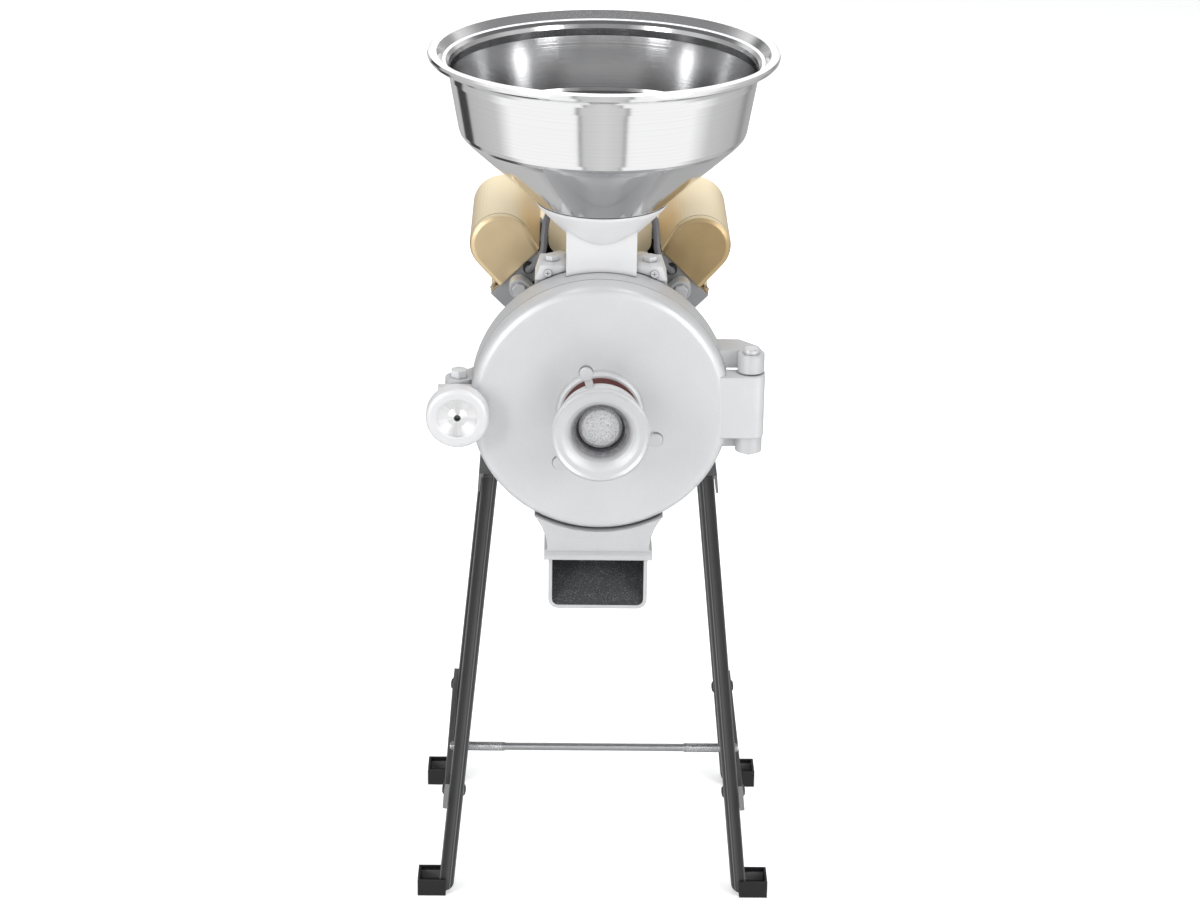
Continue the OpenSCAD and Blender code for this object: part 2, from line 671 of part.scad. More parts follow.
module shaft_keys() color(zinc) at_axis() {
    translate([-3, runner_front_y + 6, shaft_r - 3]) cube([6, flange_y - seal_len - runner_front_y - 12,
        5.9]);
}
module feed_screw() color(iron) at_axis() translate([0, runner_back_y + 1, 0]) difference() {
    rotate([-90, 0, 0])
        linear_extrude(screw_len, twist = -360 * screw_len / screw_pitch, slices = 32, segments = 4)
            polygon(concat(arc([0, 0], disc_hub_r, 48, 352, 19), arc([0, 0], feed_r - 1.2, 2, 38, 4)));
    ycyl(shaft_r + run, -over, screw_len + over);
    translate([-3.1, -over, 0]) cube([6.2, screw_len + 2 * over, shaft_r + 3.1]);
}

// ---------------------------------------------------------------- shaft and bearings

module motor_shaft() color(steel) at_axis() difference() {
    union() {
        ycyl(shaft_r, runner_front_y + 5.1, fan_y + 6);
        ycyl(fan_seat_r, fan_y + 5, fan_y + 34);
        ycyl(shaft_r + 3, housing_y + 2, rear_bearing_y - 0.5);
    }
    translate([-3.05, runner_front_y + 4, shaft_r - 3.1]) cube([6.1,
        flange_y - seal_len - runner_front_y - 8, 10]);
    ycyl(m8 + run, runner_front_y, runner_front_y + 30);
}
module shaft_seal() color(rubber) at_axis() difference() {
    ycyl(seal_r - 0.05, flange_y - seal_len + 0.1, flange_y - 0.1);
    ycyl(shaft_r + run, flange_y - seal_len - over, flange_y + over);
}
// Sealed ball bearing: both races and the seals between them as one ring, recessed at the seals
module bearing(y0) yrev() polygon([[shaft_r + run, y0], [shaft_r + race_t, y0],
    [shaft_r + race_t, y0 + seal_in], [bearing_r - race_t, y0 + seal_in], [bearing_r - race_t, y0],
    [bearing_r, y0], [bearing_r, y0 + bearing_len], [bearing_r - race_t, y0 + bearing_len],
    [bearing_r - race_t, y0 + bearing_len - seal_in], [shaft_r + race_t, y0 + bearing_len - seal_in],
    [shaft_r + race_t, y0 + bearing_len], [shaft_r + run, y0 + bearing_len]]);
module front_bearing() color(steel) at_axis() bearing(front_bearing_y);
module rear_bearing() color(steel) at_axis() bearing(rear_bearing_y);

// ---------------------------------------------------------------- clamp

module clamp_bolt() color(zinc) at_axis() translate([-clamp_x, -clamp_front, 0]) {
    difference() {
        translate([0, 0, fit - plate_in]) cylinder(h = 2 * (plate_in - fit), r = eye_out);
        translate([0, 0, -plate_in]) cylinder(h = 2 * plate_in, r = clamp_r + 1.2);
        translate([-clamp_r - 1.2, 0, -plate_in]) cube([2 * clamp_r + 2.4, 20, 2 * plate_in]);
    }
    ycyl(clamp_r, face_y + clamp_front - wheel_len + 5, -clamp_r - 2);
}
module clamp_pivot_bolt() color(zinc) at_axis() translate([-clamp_x, -clamp_front, plate_out + 0.05]) {
    hex_bolt(clamp_r, 2 * plate_out + 8, 12, 6);
    translate([0, 0, -2 * plate_out - 6]) hex_nut(clamp_r + 0.02, 12, 5.8);
}
module clamp_handwheel() color(silver) at_axis() translate([-clamp_x, wheel_y, 0])
    yrev() polygon(concat([[clamp_r + 0.1, 0], [12, 0], [13.5, -4]],
        arc([wheel_r - 3, -8], 3, 50, 0, 3), arc([wheel_r - 4, 4 - wheel_len], 4, 0, -90, 4),
        [[wheel_r - 8, -wheel_len], [wheel_r - 9.5, 1.5 - wheel_len], [wheel_r - 9.5, 2.5 - wheel_len],
        [clamp_r + 4, 4 - wheel_len], [1.8, 2.2 - wheel_len], [1.4, 2.8 - wheel_len],
        [1.4, 4.7 - wheel_len], [clamp_r + 0.1, 4.7 - wheel_len]]));

// ---------------------------------------------------------------- motor

module shield_ears(y0, y1) ring(4, 0, 45) {
    translate([housing_r - 8, y0, -ear_round]) cube([tie_r - housing_r + 8, y1 - y0, 2 * ear_round]);
    translate([tie_r, 0, 0]) ycyl(ear_round, y0, y1);
}
module tie_holes(y0, y1) ring(4, tie_r, 45) ycyl(m6 + run, y0, y1);
module front_end_shield() color(grey) at_axis() difference() {
    union() {
        yrev() polygon([[0, flange_y + 0.1], [motor_r - 6, flange_y + 0.1], [motor_r, flange_y + 8],
            [motor_r, housing_y], [housing_in - 0.2, housing_y], [housing_in - 0.2, housing_y + 4],
            [0, housing_y + 4]]);
        shield_ears(housing_y - 14, housing_y - 0.05);
        // Top pad with the two bolts behind the feed throat
        translate([-foot_w / 2 + 6, flange_y + 0.1, housing_r - 20])
            cube([foot_w - 12, 13, foot_joint - housing_r + 20]);
    }
    ycyl(bearing_r + 0.05, front_bearing_y - 0.05, housing_y + over + 4);
    ycyl(shaft_r + 1, flange_y - over, housing_y + 6);
    yrev() polygon([[bearing_r + 8, housing_y - 6], [housing_in - 6, housing_y - 3],
        [housing_in - 6, housing_y + 5], [bearing_r + 8, housing_y + 5]]);
    tie_holes(flange_y, housing_y + over);
    ring(4, body_bolt_r, 45) ycyl(m8 + run, flange_y - over, housing_y - 5);
    for (x = [-33, 33]) translate([x, flange_y + 7, foot_joint - 12]) cylinder(h = 20, r = m6 + run);
}
module body_bolts() color(zinc) at_axis() ring(4, body_bolt_r, 45)
    translate([0, flange_y - motor_flange_t - 0.05, 0]) rotate([90, 0, 0])
        hex_bolt(m8, motor_flange_t + 12, m8_af, 5);
module shield_pad_bolts() color(zinc) at_axis() for (x = [-33, 33])
    translate([x, flange_y + 7, foot_joint + 0.05]) hex_bolt(m6, 11, m6_af, m6_head);
module cap_frame() rotate([0, -45, 0]) children();
module at_cap_screws(w) both_sides() cap_frame() for (y = cap_screw_y)
    translate([w, y, cap_base[0] - cap_lip / 2]) rotate([0, 90, 0]) children();
// In cap_frame, x is w away from the shaft and z is u along the seat
module seat_block(y) translate([housing_r - 8, y, seat_u[0]])
    cube([seat_w - housing_r + 8, seat_len, seat_u[1] - seat_u[0]]);
module motor_housing() color(black) at_axis() difference() {
    union() {
        ycyl(housing_r, housing_y, rear_y);
        for (i = [0:fins - 1]) if (abs(i - fins * 3 / 4) > 3 && abs(i - fins / 4) > 3)
            rotate([0, -i * 360 / fins, 0]) translate([housing_r - 2, housing_y + 3, -1])
                cube([fin_h + 2, housing_len - 6, 2]);
        // Top pad under the terminal box
        translate([-28, box_y + 6, housing_r - 6]) cube([56, box_len - 12, pad_h - housing_r + 6]);
        // Feet
        for (y = motor_feet) both_sides() {
            translate([foot_x - 28, y - 12, -motor_r]) cube([40, 24, foot_h]);
            foot_web(y - 12, y + 12);
        }
        // Seats of the capacitor covers
        for (y = cap_seats) both_sides() cap_frame() seat_block(y);
    }
    ycyl(housing_in, housing_y - over, rear_y + over);
    for (y = motor_feet) both_sides() translate([foot_x, y, -motor_r - over])
        cylinder(h = foot_h + 2 * over, r = m8 + run);
    tie_holes(housing_y, rear_y);
    both_sides() cap_frame() translate([lead_w, 0, lead_u])
        ycyl(grommet_r - 1.2, seat_y - over, seat_y + grommet_t);
    at_cap_screws(seat_w) translate([0, 0, -9]) cylinder(h = 10, r = 1.8 + run);
}
module foot_web(y0, y1) ypoly(y0, y1) polygon([[foot_x - 28, -motor_r], [foot_x - 10, -motor_r],
    [foot_x - 11, -housing_r * 0.5], [foot_x - 28, -housing_r * 0.68]]);
module stator_core() color(iron) at_axis() difference() {
    ycyl(housing_in - 0.05, stack_y0, stack_y1);
    ycyl(rotor_r + air_gap, stack_y0 - over, stack_y1 + over);
}
module stator_windings() color(copper) at_axis()
    for (y = [stack_y0 - 17.05, stack_y1 + 0.05]) yrev() polygon(concat([[rotor_r + 5, y + 3],
        [rotor_r + 5, y + 14]], [[rotor_r + 8, y + 17], [housing_in - 8, y + 17],
        [housing_in - 5, y + 14], [housing_in - 5, y + 3], [housing_in - 8, y], [rotor_r + 8, y]]));
module rotor_core() color(iron) at_axis() difference() {
    union() {
        ycyl(rotor_r, stack_y0, stack_y1);
        ycyl(rotor_r - 4, stack_y0 - 8, stack_y1 + 8);
    }
    ycyl(shaft_r + 3 + run, stack_y0 - 20, stack_y1 + 20);
}
// The three screws of the fan cover, at the top and to both sides of the feet
module at_fan_screws(r) ring(3, r, 90) rotate([0, 90, 0]) translate([0, fan_y - 4, 0]) children();
module rear_end_shield() color(grey) at_axis() difference() {
    union() {
        yrev() polygon([[0, rear_y - 9], [bearing_r + 7, rear_y - 9], [bearing_r + 7, rear_y - 4],
            [housing_in - 0.2, rear_y - 4], [housing_in - 0.2, rear_y], [motor_r, rear_y],
            [motor_r, rear_y + rear_len - 2], [motor_r - 4, rear_y + rear_len],
            [0, rear_y + rear_len]]);
        shield_ears(rear_y + 0.05, rear_ear_y);
    }
    ycyl(bearing_r + 0.05, rear_y - 10, rear_bearing_y + bearing_len + 0.05);
    ycyl(shaft_r + 1, rear_y - 10, fan_y + over);
    tie_holes(rear_y - over, fan_y + over);
    at_fan_screws(motor_r - 12.5) cylinder(h = 20, r = 2 + run);
}
module shield_tie_bolts() color(zinc) at_axis() ring(4, tie_r, 45) {
    translate([0, housing_y - 14.05, 0]) rotate([90, 0, 0])
        hex_bolt(m6, rear_ear_y - housing_y + 21, m6_af, m6_head);
    translate([0, rear_ear_y + 0.05, 0]) rotate([-90, 0, 0]) hex_nut(m6 + 0.02, m6_af, 5);
}
module cooling_fan() color(black) at_axis() difference() {
    union() {
        ycyl(fan_seat_r + 6, fan_y + 10, fan_y + 34);
        ycyl(58, fan_y + 10, fan_y + 13);
        ring(8, 0, 10) translate([fan_seat_r + 3, fan_y + 12, -1.2]) cube([50, 20, 2.4]);
    }
    ycyl(fan_seat_r + run, fan_y, fan_y + 40);
}
module fan_cover() color(gold) at_axis() difference() {
    yrev() polygon(concat([[motor_r + fit, fan_y - 8], [motor_r + fit + cap_t, fan_y - 8]],
        arc([motor_r + fit + cap_t - 10, end_y - 10], 10, 0, 90), [[0, end_y], [0, end_y - cap_t]],
        arc([motor_r + fit - 10 + cap_t, end_y - 10], 10 - cap_t, 90, 0)));
    for (k = [0:4], s = [-1, 1]) translate([-60 + 4 * k, end_y - 5, s * 9 * k + (s < 0 ? -9 : 0) + 2])
        cube([120 - 8 * k, 10, 5]);
    at_fan_screws(motor_r - 10) cylinder(h = 20, r = 2 + run);
}
module cover_screws() color(zinc) at_axis() {
    // Fan cover
    at_fan_screws(motor_r + fit + cap_t + 0.05) pan_screw(2, 7);
    // Capacitor covers, through their flanges
    at_cap_screws(seat_w + cap_t + 0.05) pan_screw(1.8, 8);
    // Terminal box lid
    for (x = [-1, 1], y = [-1, 1]) translate([x * (box_half - 8), box_y + box_len / 2
        + y * (box_len / 2 - 8), pad_h + box_h + lid_h + 0.05]) pan_screw(2, 9);
}

// ---------------------------------------------------------------- electrics

module box_outline(inset) let (w = box_half - inset, r = box_round - inset, h = pad_h + box_h)
    polygon(concat([[w, h]], arc([w - r, pad_h + inset + r], r, 0, -90),
        arc([r - w, pad_h + inset + r], r, -90, -180), [[-w, h]]));
module at_lid_screws() for (x = [-1, 1], y = [-1, 1])
    translate([x * (box_half - 8), box_y + box_len / 2 + y * (box_len / 2 - 8), pad_h + box_h]) children();
module terminal_box() color(gold) at_axis() difference() {
    ypoly(box_y, box_y + box_len) box_outline(0);
    for (z = [0, over]) translate([0, 0, z])
        ypoly(box_y + box_t, box_y + box_len - box_t) box_outline(box_t);
    translate([gland_x, 0, pad_h + outlet_z])
        ycyl(gland_r - 2.5, box_y + box_len - 5, box_y + box_len + over);
    translate([switch_x - switch_w + 2, box_y + box_len - 5, switch_z - switch_h + 3])
        cube([2 * switch_w - 4, 10, 2 * switch_h - 6]);
    both_sides() translate([lead_box_x, 0, lead_box_z]) ycyl(grommet_r - 1.2, box_y - over, box_y + 5);
}
module terminal_box_lid() color(gold) at_axis() difference() {
    union() {
        translate([-box_half - 1.5, box_y - 1.5, pad_h + box_h + 0.05])
            cube([2 * box_half + 3, box_len + 3, lid_h - 2]);
        translate([-box_half + 1.5, box_y + 1.5, pad_h + box_h + 1])
            cube([2 * box_half - 3, box_len - 3, lid_h - 1]);
        at_lid_screws() translate([0, 0, -6]) cylinder(h = 7, r = 4);
    }
    at_lid_screws() translate([0, 0, -8]) cylinder(h = 20, r = 2 + run);
}
module at_switch() translate([switch_x, box_y + box_len, switch_z]) children();
module switch_bezel() color(black) at_axis() at_switch() difference() {
    union() {
        translate([-switch_w, 0.05, -switch_h + 1]) cube([2 * switch_w, 2.5, 2 * switch_h - 2]);
        translate([2.1 - switch_w, -16, 3.1 - switch_h])
            cube([2 * switch_w - 4.2, 17, 2 * switch_h - 6.2]);
    }
    translate([3.6 - switch_w, -rocker_in, 0]) rotate([0, 90, 0])
        cylinder(h = 2 * switch_w - 7.2, r = rocker_r + fit);
}
module rocker_switch() color([0.7, 0.08, 0.06]) at_axis() at_switch() translate([0, -rocker_in, 0])
    intersection() {
        rotate([0, 90, 0]) translate([0, 0, 3.9 - switch_w]) cylinder(h = 2 * switch_w - 7.8, r = rocker_r);
        xpoly(2 * switch_w) polygon([[-8, -14], [5.4, -14], [5.2, 0], [9.4, 14], [-8, 14]]);
    }
module cord_gland() color(black) at_axis() translate([gland_x, box_y + box_len, pad_h + outlet_z])
    difference() {
        union() {
            ycyl(gland_r - 2.6, -box_t - 2, 1);
            translate([0, 0.05, 0]) rotate([-90, 0, 0]) cylinder(h = 5, r = gland_r + 1, $fn = 6);
            ycyl(gland_r - 0.5, 4, gland_len - 3);
            ycyl(gland_r - 2, gland_len - 4, gland_len);
        }
        ycyl(gland_bore, -10, gland_len + over);
    }

// ---------------------------------------------------------------- capacitors

// Teardrop section in [w, u]: a circle joined to the flat base by its two tangents
function cap_section(inset) =
    let (c = [cap_w, cap_u], r = cap_r - inset,
         p = [seat_w, cap_base[0] + inset], q = [seat_w, cap_base[1] - inset],
         vp = p - c, vq = q - c,
         ap = atan2(vp[1], vp[0]) + acos(r / norm(vp)), aq = atan2(vq[1], vq[0]) - acos(r / norm(vq)))
    concat([p], arc(c, r, ap, aq, 24), [q]);
module cap_shape(y0, y1, inset, round) hull() for (s = [0:2]) let (a = 45 * s)
    ypoly(y0 + round * (1 - sin(a)), y1) polygon(cap_section(inset + round * (1 - cos(a))));
module capacitor_cover() difference() {
    union() {
        cap_shape(cap_y, cap_y + cap_len, 0, 4);
        translate([seat_w, cap_y + 4, cap_base[0] - cap_lip]) cube([cap_t, cap_len - 8, cap_lip + 1]);
    }
    cap_shape(cap_y + cap_t, cap_y + cap_len - cap_t, cap_t, 3);
    translate([seat_w - over, cap_y + 3, cap_base[0] + 3]) cube([2 * over, cap_len - 6,
        cap_base[1] - cap_base[0] - 6]);
    for (y = cap_screw_y) translate([seat_w - over, y, cap_base[0] - cap_lip / 2])
        rotate([0, 90, 0]) cylinder(h = 5, r = 1.8 + run);
}
module capacitor() translate([cap_w, 0, cap_u]) {
    ycyl(cap_r - cap_t - fit, cap_y + 6, cap_y + cap_len - 14);
    ycyl(cap_r - 8, cap_y + cap_len - 15, cap_y + cap_len - 11);
}
module capacitor_cover_right() color(gold) at_axis() cap_frame() capacitor_cover();
module capacitor_cover_left() color(gold) at_axis() mirror([1, 0, 0]) cap_frame() capacitor_cover();
module run_capacitor() color(grey) at_axis() cap_frame() capacitor();
module start_capacitor() color(grey) at_axis() mirror([1, 0, 0]) cap_frame() capacitor();

// Smooth route through the lead's points; both ends run along Y
function bend(p, i, t) =
    let (a = p[max(i - 1, 0)], b = p[i], c = p[i + 1], d = p[min(i + 2, len(p) - 1)])
    0.5 * (2 * b + (c - a) * t + (2 * a - 5 * b + 4 * c - d) * t * t
        + (3 * b - a - 3 * c + d) * t * t * t);
function route(p, n = 3) = concat([for (i = [0:len(p) - 2], k = [0:n - 1]) bend(p, i, k / n)],
    [p[len(p) - 1]]);
module tube(p, r, sides = 8) {
    path = route(p);
    n = len(path);
    rings = [for (i = [0:n - 1])
        let (d = i == 0 ? [0, -1, 0] : i == n - 1 ? [0, 1, 0] : unit(path[i + 1] - path[i - 1]),
             e = unit(cross(d, [1, 0, 0])),
             f = cross(d, e))
        for (k = [0:sides - 1]) path[i] + r * (cos(360 * k / sides) * e + sin(360 * k / sides) * f)];
    polyhedron(rings, concat([[for (k = [0:sides - 1]) k]],
        [for (i = [0:n - 2], k = [0:sides - 1]) let (m = (k + 1) % sides)
            [i * sides + k, (i + 1) * sides + k, (i + 1) * sides + m, i * sides + m]],
        [[for (k = [sides - 1:-1:0]) (n - 1) * sides + k]]), convexity = 4);
}
module capacitor_lead_right() color(iron) at_axis() tube(lead_route, lead_r);
module capacitor_lead_left() color(iron) at_axis() mirror([1, 0, 0]) tube(lead_route, lead_r);
module lead_grommets() color(rubber) at_axis() both_sides() {
    translate([lead_box_x, 0, lead_box_z]) {
        ycyl(grommet_r, box_y - grommet_t, box_y - 0.05);
        ycyl(grommet_r - 1.3, box_y - 0.5, box_y + box_t);
    }
    cap_frame() translate([lead_w, 0, lead_u]) {
        ycyl(grommet_r, seat_y - grommet_t, seat_y - 0.05);
        ycyl(grommet_r - 1.3, seat_y - 0.5, seat_y + grommet_t - 1);
    }
}

// ---------------------------------------------------------------- stand

module base_bracket() color(black) difference() {
    union() {
        translate([-base_half, base_front, leg_top_z])
            cube([2 * base_half, base_back - base_front, base_t]);
        both_sides() ypoly(base_front, base_back) let (d = tan(leg_splay) * flange_drop)
            polygon([[base_half - 2, leg_top_z + 1], [base_half, leg_top_z + base_t],
                [base_half + d, leg_top_z + base_t - flange_drop - 1],
                [base_half + d - 1, leg_top_z + base_t - flange_drop - 2],
                [base_half + d - 2, leg_top_z + base_t - flange_drop - 1]]);
    }
    translate([-45, front_leg_y + 20, leg_top_z - over]) cube([90, leg_pitch - 40, base_t + 2 * over]);
    // Room for the fan cover
    at_axis() ycyl(motor_r + 2 * fit + cap_t, fan_y - 9, base_back + over);
    both_sides() {
        at_legs() translate([leg_bolt_x, 0, leg_top_z - over]) cylinder(h = 9, r = m6 + run);
        for (y = motor_feet) translate([foot_x, y, leg_top_z - over]) cylinder(h = 9, r = m8 + run);
    }
}
module motor_foot_bolts() color(zinc) for (y = motor_feet) both_sides() translate([foot_x, y, 0]) {
    translate([0, 0, motor_low + foot_h + 0.05]) hex_bolt(m8, foot_h + base_t + 9, m8_af, m8_head);
    translate([0, 0, leg_top_z - 6.55]) hex_nut(m8 + 0.02, m8_af, 6.5);
}
module leg_bolts() color(zinc) at_legs() both_sides() translate([leg_bolt_x, 0, 0]) {
    translate([0, 0, motor_low + 0.05]) hex_bolt(m6, base_t + leg_t + 8, m6_af, 4);
    translate([0, 0, leg_top_z - leg_t - 5.05]) hex_nut(m6 + 0.02, m6_af, 5);
}
module leg_web_outline() polygon(concat([[web_x(leg_top_z), leg_top_z],
    [web_x(leg_top_z) + leg_t / cos(leg_splay), leg_top_z]],
    arc(bend_c, leg_bend - leg_t, 180 + leg_splay, 270),
    [[foot_end, foot_z + leg_t], [foot_end, foot_z]], arc(bend_c, leg_bend, 270, 180 + leg_splay)));
module leg_lip_outline() polygon(concat([[web_x(leg_top_z), leg_top_z], [leg_top_x, leg_top_z],
    [leg_x(foot_z + foot_lip), foot_z + foot_lip], [foot_end, foot_z + foot_lip], [foot_end, foot_z]],
    arc(bend_c, leg_bend, 270, 180 + leg_splay)));
// A frame on the outer edges of a leg at height z, leaning with it
module on_leg(z) translate([leg_x(z), 0, z]) rotate([0, -leg_splay, 0]) children();
module leg(has_tie) difference() {
    union() {
        ypoly(-leg_w / 2, leg_w / 2) leg_web_outline();
        for (y = [-leg_w / 2, leg_w / 2 - leg_t]) ypoly(y, y + leg_t) leg_lip_outline();
        translate([web_x(leg_top_z) - tab_len, -leg_w / 2, leg_top_z - leg_t])
            cube([tab_len + leg_depth, leg_w, leg_t]);
    }
    translate([leg_bolt_x, 0, leg_top_z - 5]) cylinder(h = 9, r = m6 + run);
    if (has_tie) translate([web_x(tie_z) - 5, 0, tie_z]) rotate([0, 90, 0])
        cylinder(h = 12, r = tie_rod_r + run);
    on_leg(brace_z) rotate([0, -90, 0]) cylinder(h = 2 * leg_depth, r = m6 + run);
}
module leg_front_right() color(black) translate([0, front_leg_y, 0]) leg(true);
module leg_front_left() color(black) translate([0, front_leg_y, 0]) mirror([1, 0, 0]) leg(true);
module leg_rear_right() color(black) translate([0, rear_leg_y, 0]) leg(false);
module leg_rear_left() color(black) translate([0, rear_leg_y, 0]) mirror([1, 0, 0]) leg(false);
tie_half = [[tie_rod_r - 0.7, tie_end - tie_thread - 0.5], [tie_rod_r, tie_end - tie_thread],
    [tie_rod_r, tie_end - 2.5], [tie_rod_r - 0.4, tie_end - 1.2], [2, tie_end], [0, tie_end]];
module tie_rod() color(zinc) translate([0, front_leg_y, tie_z]) {
    // Rod, turned down between its threaded ends
    rotate([0, 90, 0]) rotate_extrude() polygon(concat(tie_half,
        [for (q = reversed(tie_half)) [q[0], -q[1]]]));
    both_sides() translate([web_x(tie_z) + leg_t + 0.9, 0, 0]) rotate([0, 90, 0])
        hex_nut(tie_rod_r + 0.02, 12, 5.5);
}
module side_braces() color(black) both_sides() on_leg(brace_z) difference() {
    let (y0 = front_leg_y - leg_w / 2 - brace_over, y1 = rear_leg_y + leg_w / 2 + brace_over,
         h = brace_h / 2)
        translate([brace_t / 2 + 0.02, 0, 0]) xpoly(brace_t)
            polygon([[y0, -h], [y1, -h], [y1 - brace_over, h], [y0 + brace_over, h]]);
    at_legs() translate([-over, 0, 0]) rotate([0, 90, 0]) cylinder(h = brace_t + 2 * over, r = m6 + run);
}
// Each rivet spans the brace and the leg's web, with a low domed head at both ends
module brace_rivets() color(black) both_sides() at_legs() on_leg(brace_z) rotate([0, 90, 0])
    rotate_extrude() polygon(concat([[0, -leg_depth - 1.9], [3.5, -leg_depth - 1.5],
        [5, -leg_depth - 0.3], [5, -leg_depth - 0.05], [m6, -leg_depth - 0.05], [m6, brace_t + 0.07],
        [5, brace_t + 0.07], [5, brace_t + 0.4], [3.5, brace_t + 1.6], [0, brace_t + 2]]));
module rubber_boots() color(rubber) at_legs() both_sides() difference() {
    translate([boot_x, -leg_w / 2 - boot_wall - fit, 0])
        cube([stand_half - boot_x, leg_w + 2 * boot_wall + 2 * fit, boot_h]);
    translate([boot_x - over, -leg_w / 2 - fit, boot_sole])
        cube([foot_end + fit - boot_x + over, leg_w + 2 * fit, boot_h]);
}

// ---------------------------------------------------------------- nodes

placed() mill_body();
placed() discharge_spout();
placed() cover();
placed() cover_gasket();
placed() hinge_pin();
placed() feed_throat();
placed() throat_bolts();
placed() hopper();
placed() adjusting_knob();
placed() dust_seal();
placed() lock_nut();
placed() pressure_spindle();
placed() guide_pins();
placed() stationary_disc();
placed() stationary_disc_screws();
placed() rotating_disc();
placed() disc_bolt();
placed() feed_screw();
placed() shaft_keys();
placed() motor_shaft();
placed() shaft_seal();
placed() front_bearing();
placed() rear_bearing();
placed() clamp_bolt();
placed() clamp_pivot_bolt();
placed() clamp_handwheel();
placed() front_end_shield();
placed() body_bolts();
placed() shield_pad_bolts();
placed() motor_housing();
placed() stator_core();
placed() stator_windings();
placed() rotor_core();
placed() rear_end_shield();
placed() shield_tie_bolts();
placed() cooling_fan();
placed() fan_cover();
placed() cover_screws();
placed() terminal_box();
placed() terminal_box_lid();
placed() switch_bezel();
placed() rocker_switch();
placed() cord_gland();
placed() start_capacitor();
placed() run_capacitor();
placed() capacitor_cover_left();
placed() capacitor_cover_right();
placed() capacitor_lead_left();
placed() capacitor_lead_right();
placed() lead_grommets();
placed() base_bracket();
placed() motor_foot_bolts();
placed() leg_front_left();
placed() leg_front_right();
placed() leg_rear_left();
placed() leg_rear_right();
placed() leg_bolts();
placed() tie_rod();
placed() side_braces();
placed() brace_rivets();
placed() rubber_boots();
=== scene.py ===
import math

import bpy
from mathutils import Matrix, Vector


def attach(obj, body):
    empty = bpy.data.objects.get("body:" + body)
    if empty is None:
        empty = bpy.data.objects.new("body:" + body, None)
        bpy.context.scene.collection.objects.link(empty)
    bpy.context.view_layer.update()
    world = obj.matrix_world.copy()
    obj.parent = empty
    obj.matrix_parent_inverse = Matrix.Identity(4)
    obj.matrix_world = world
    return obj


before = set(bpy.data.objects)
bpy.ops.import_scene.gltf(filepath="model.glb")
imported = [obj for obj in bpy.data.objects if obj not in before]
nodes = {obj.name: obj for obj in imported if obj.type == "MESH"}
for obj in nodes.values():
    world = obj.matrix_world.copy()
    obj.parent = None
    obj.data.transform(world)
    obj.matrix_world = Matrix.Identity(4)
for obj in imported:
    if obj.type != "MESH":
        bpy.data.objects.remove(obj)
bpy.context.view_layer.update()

# ------------------------------------------------------------------ camera
# Level with a person's chest, 2.3 m in front of the mill and tilted down on it,
# with a long lens so that the round cover stays round.
film_mm, lens_mm, sight_m = 36, 88.96, 200
eye = Vector((-0.0297, -2.2814, 1.3217))
pitch, yaw, roll = math.radians(22.3), math.radians(0.8), math.radians(0.8)
cam_data = bpy.data.cameras.new("view")
cam_data.sensor_width, cam_data.lens, cam_data.clip_end = film_mm, lens_mm, sight_m
camera = bpy.data.objects.new("view", cam_data)
bpy.context.scene.collection.objects.link(camera)
ahead = Vector((
    math.sin(yaw) * math.cos(pitch), math.cos(yaw) * math.cos(pitch), -math.sin(pitch)))
level = Vector((math.cos(yaw), -math.sin(yaw), 0))
above = level.cross(ahead)
right = math.cos(roll) * level + math.sin(roll) * above
up = math.cos(roll) * above - math.sin(roll) * level
camera.matrix_world = Matrix.Translation(eye) @ Matrix((right, up, -ahead)).transposed().to_4x4()
bpy.context.scene.camera = camera
bpy.context.scene.view_settings.view_transform = "Standard"


# ------------------------------------------------------------------ studio
# A pale paper floor that runs on as the backdrop, a soft box on each side of the
# camera, one overhead and a weaker one behind, in a room of pale and dark panels.
class Socket:
    """An output of a shader node: Python's operators on it add Math nodes."""

    def __init__(self, tree, out):
        self.tree, self.out = tree, out

    def maths(self, operation, *values):
        """A Math node in this socket's tree on the values."""
        node = self.tree.nodes.new("ShaderNodeMath")
        node.operation = operation
        for slot, value in zip(node.inputs, values):
            plug(self.tree, slot, value)
        return Socket(self.tree, node.outputs[0])

    def __abs__(self):
        return self.maths("ABSOLUTE", self)

    def __add__(self, other):
        return self.maths("ADD", self, other)

    def __sub__(self, other):
        return self.maths("SUBTRACT", self, other)

    def __rsub__(self, other):
        return self.maths("SUBTRACT", other, self)

    def __mul__(self, other):
        return self.maths("MULTIPLY", self, other)

    def __truediv__(self, other):
        return self.maths("DIVIDE", self, other)

    def __pow__(self, other):
        return self.maths("POWER", self, other)

    def __gt__(self, other):
        return self.maths("GREATER_THAN", self, other)

    def __lt__(self, other):
        return self.maths("LESS_THAN", self, other)

    __radd__ = __add__
    __rmul__ = __mul__

    def angle(self, other):
        """The turn in radians of the point that is self up and other across."""
        return self.maths("ARCTAN2", self, other)

    def wave(self, period):
        """A wave along this value, from 0 to 1."""
        return self.maths("SINE", self * (2 * math.pi / period)) * 0.5 + 0.5


def plug(tree, slot, value):
    """Link a socket into the slot, or set the slot to a number, colour or vector."""
    if isinstance(value, Socket):
        tree.links.new(value.out, slot)
    elif isinstance(value, (tuple, list)) and slot.type == "RGBA" and len(value) == 3:
        slot.default_value = (*value, 1)
    else:
        slot.default_value = value


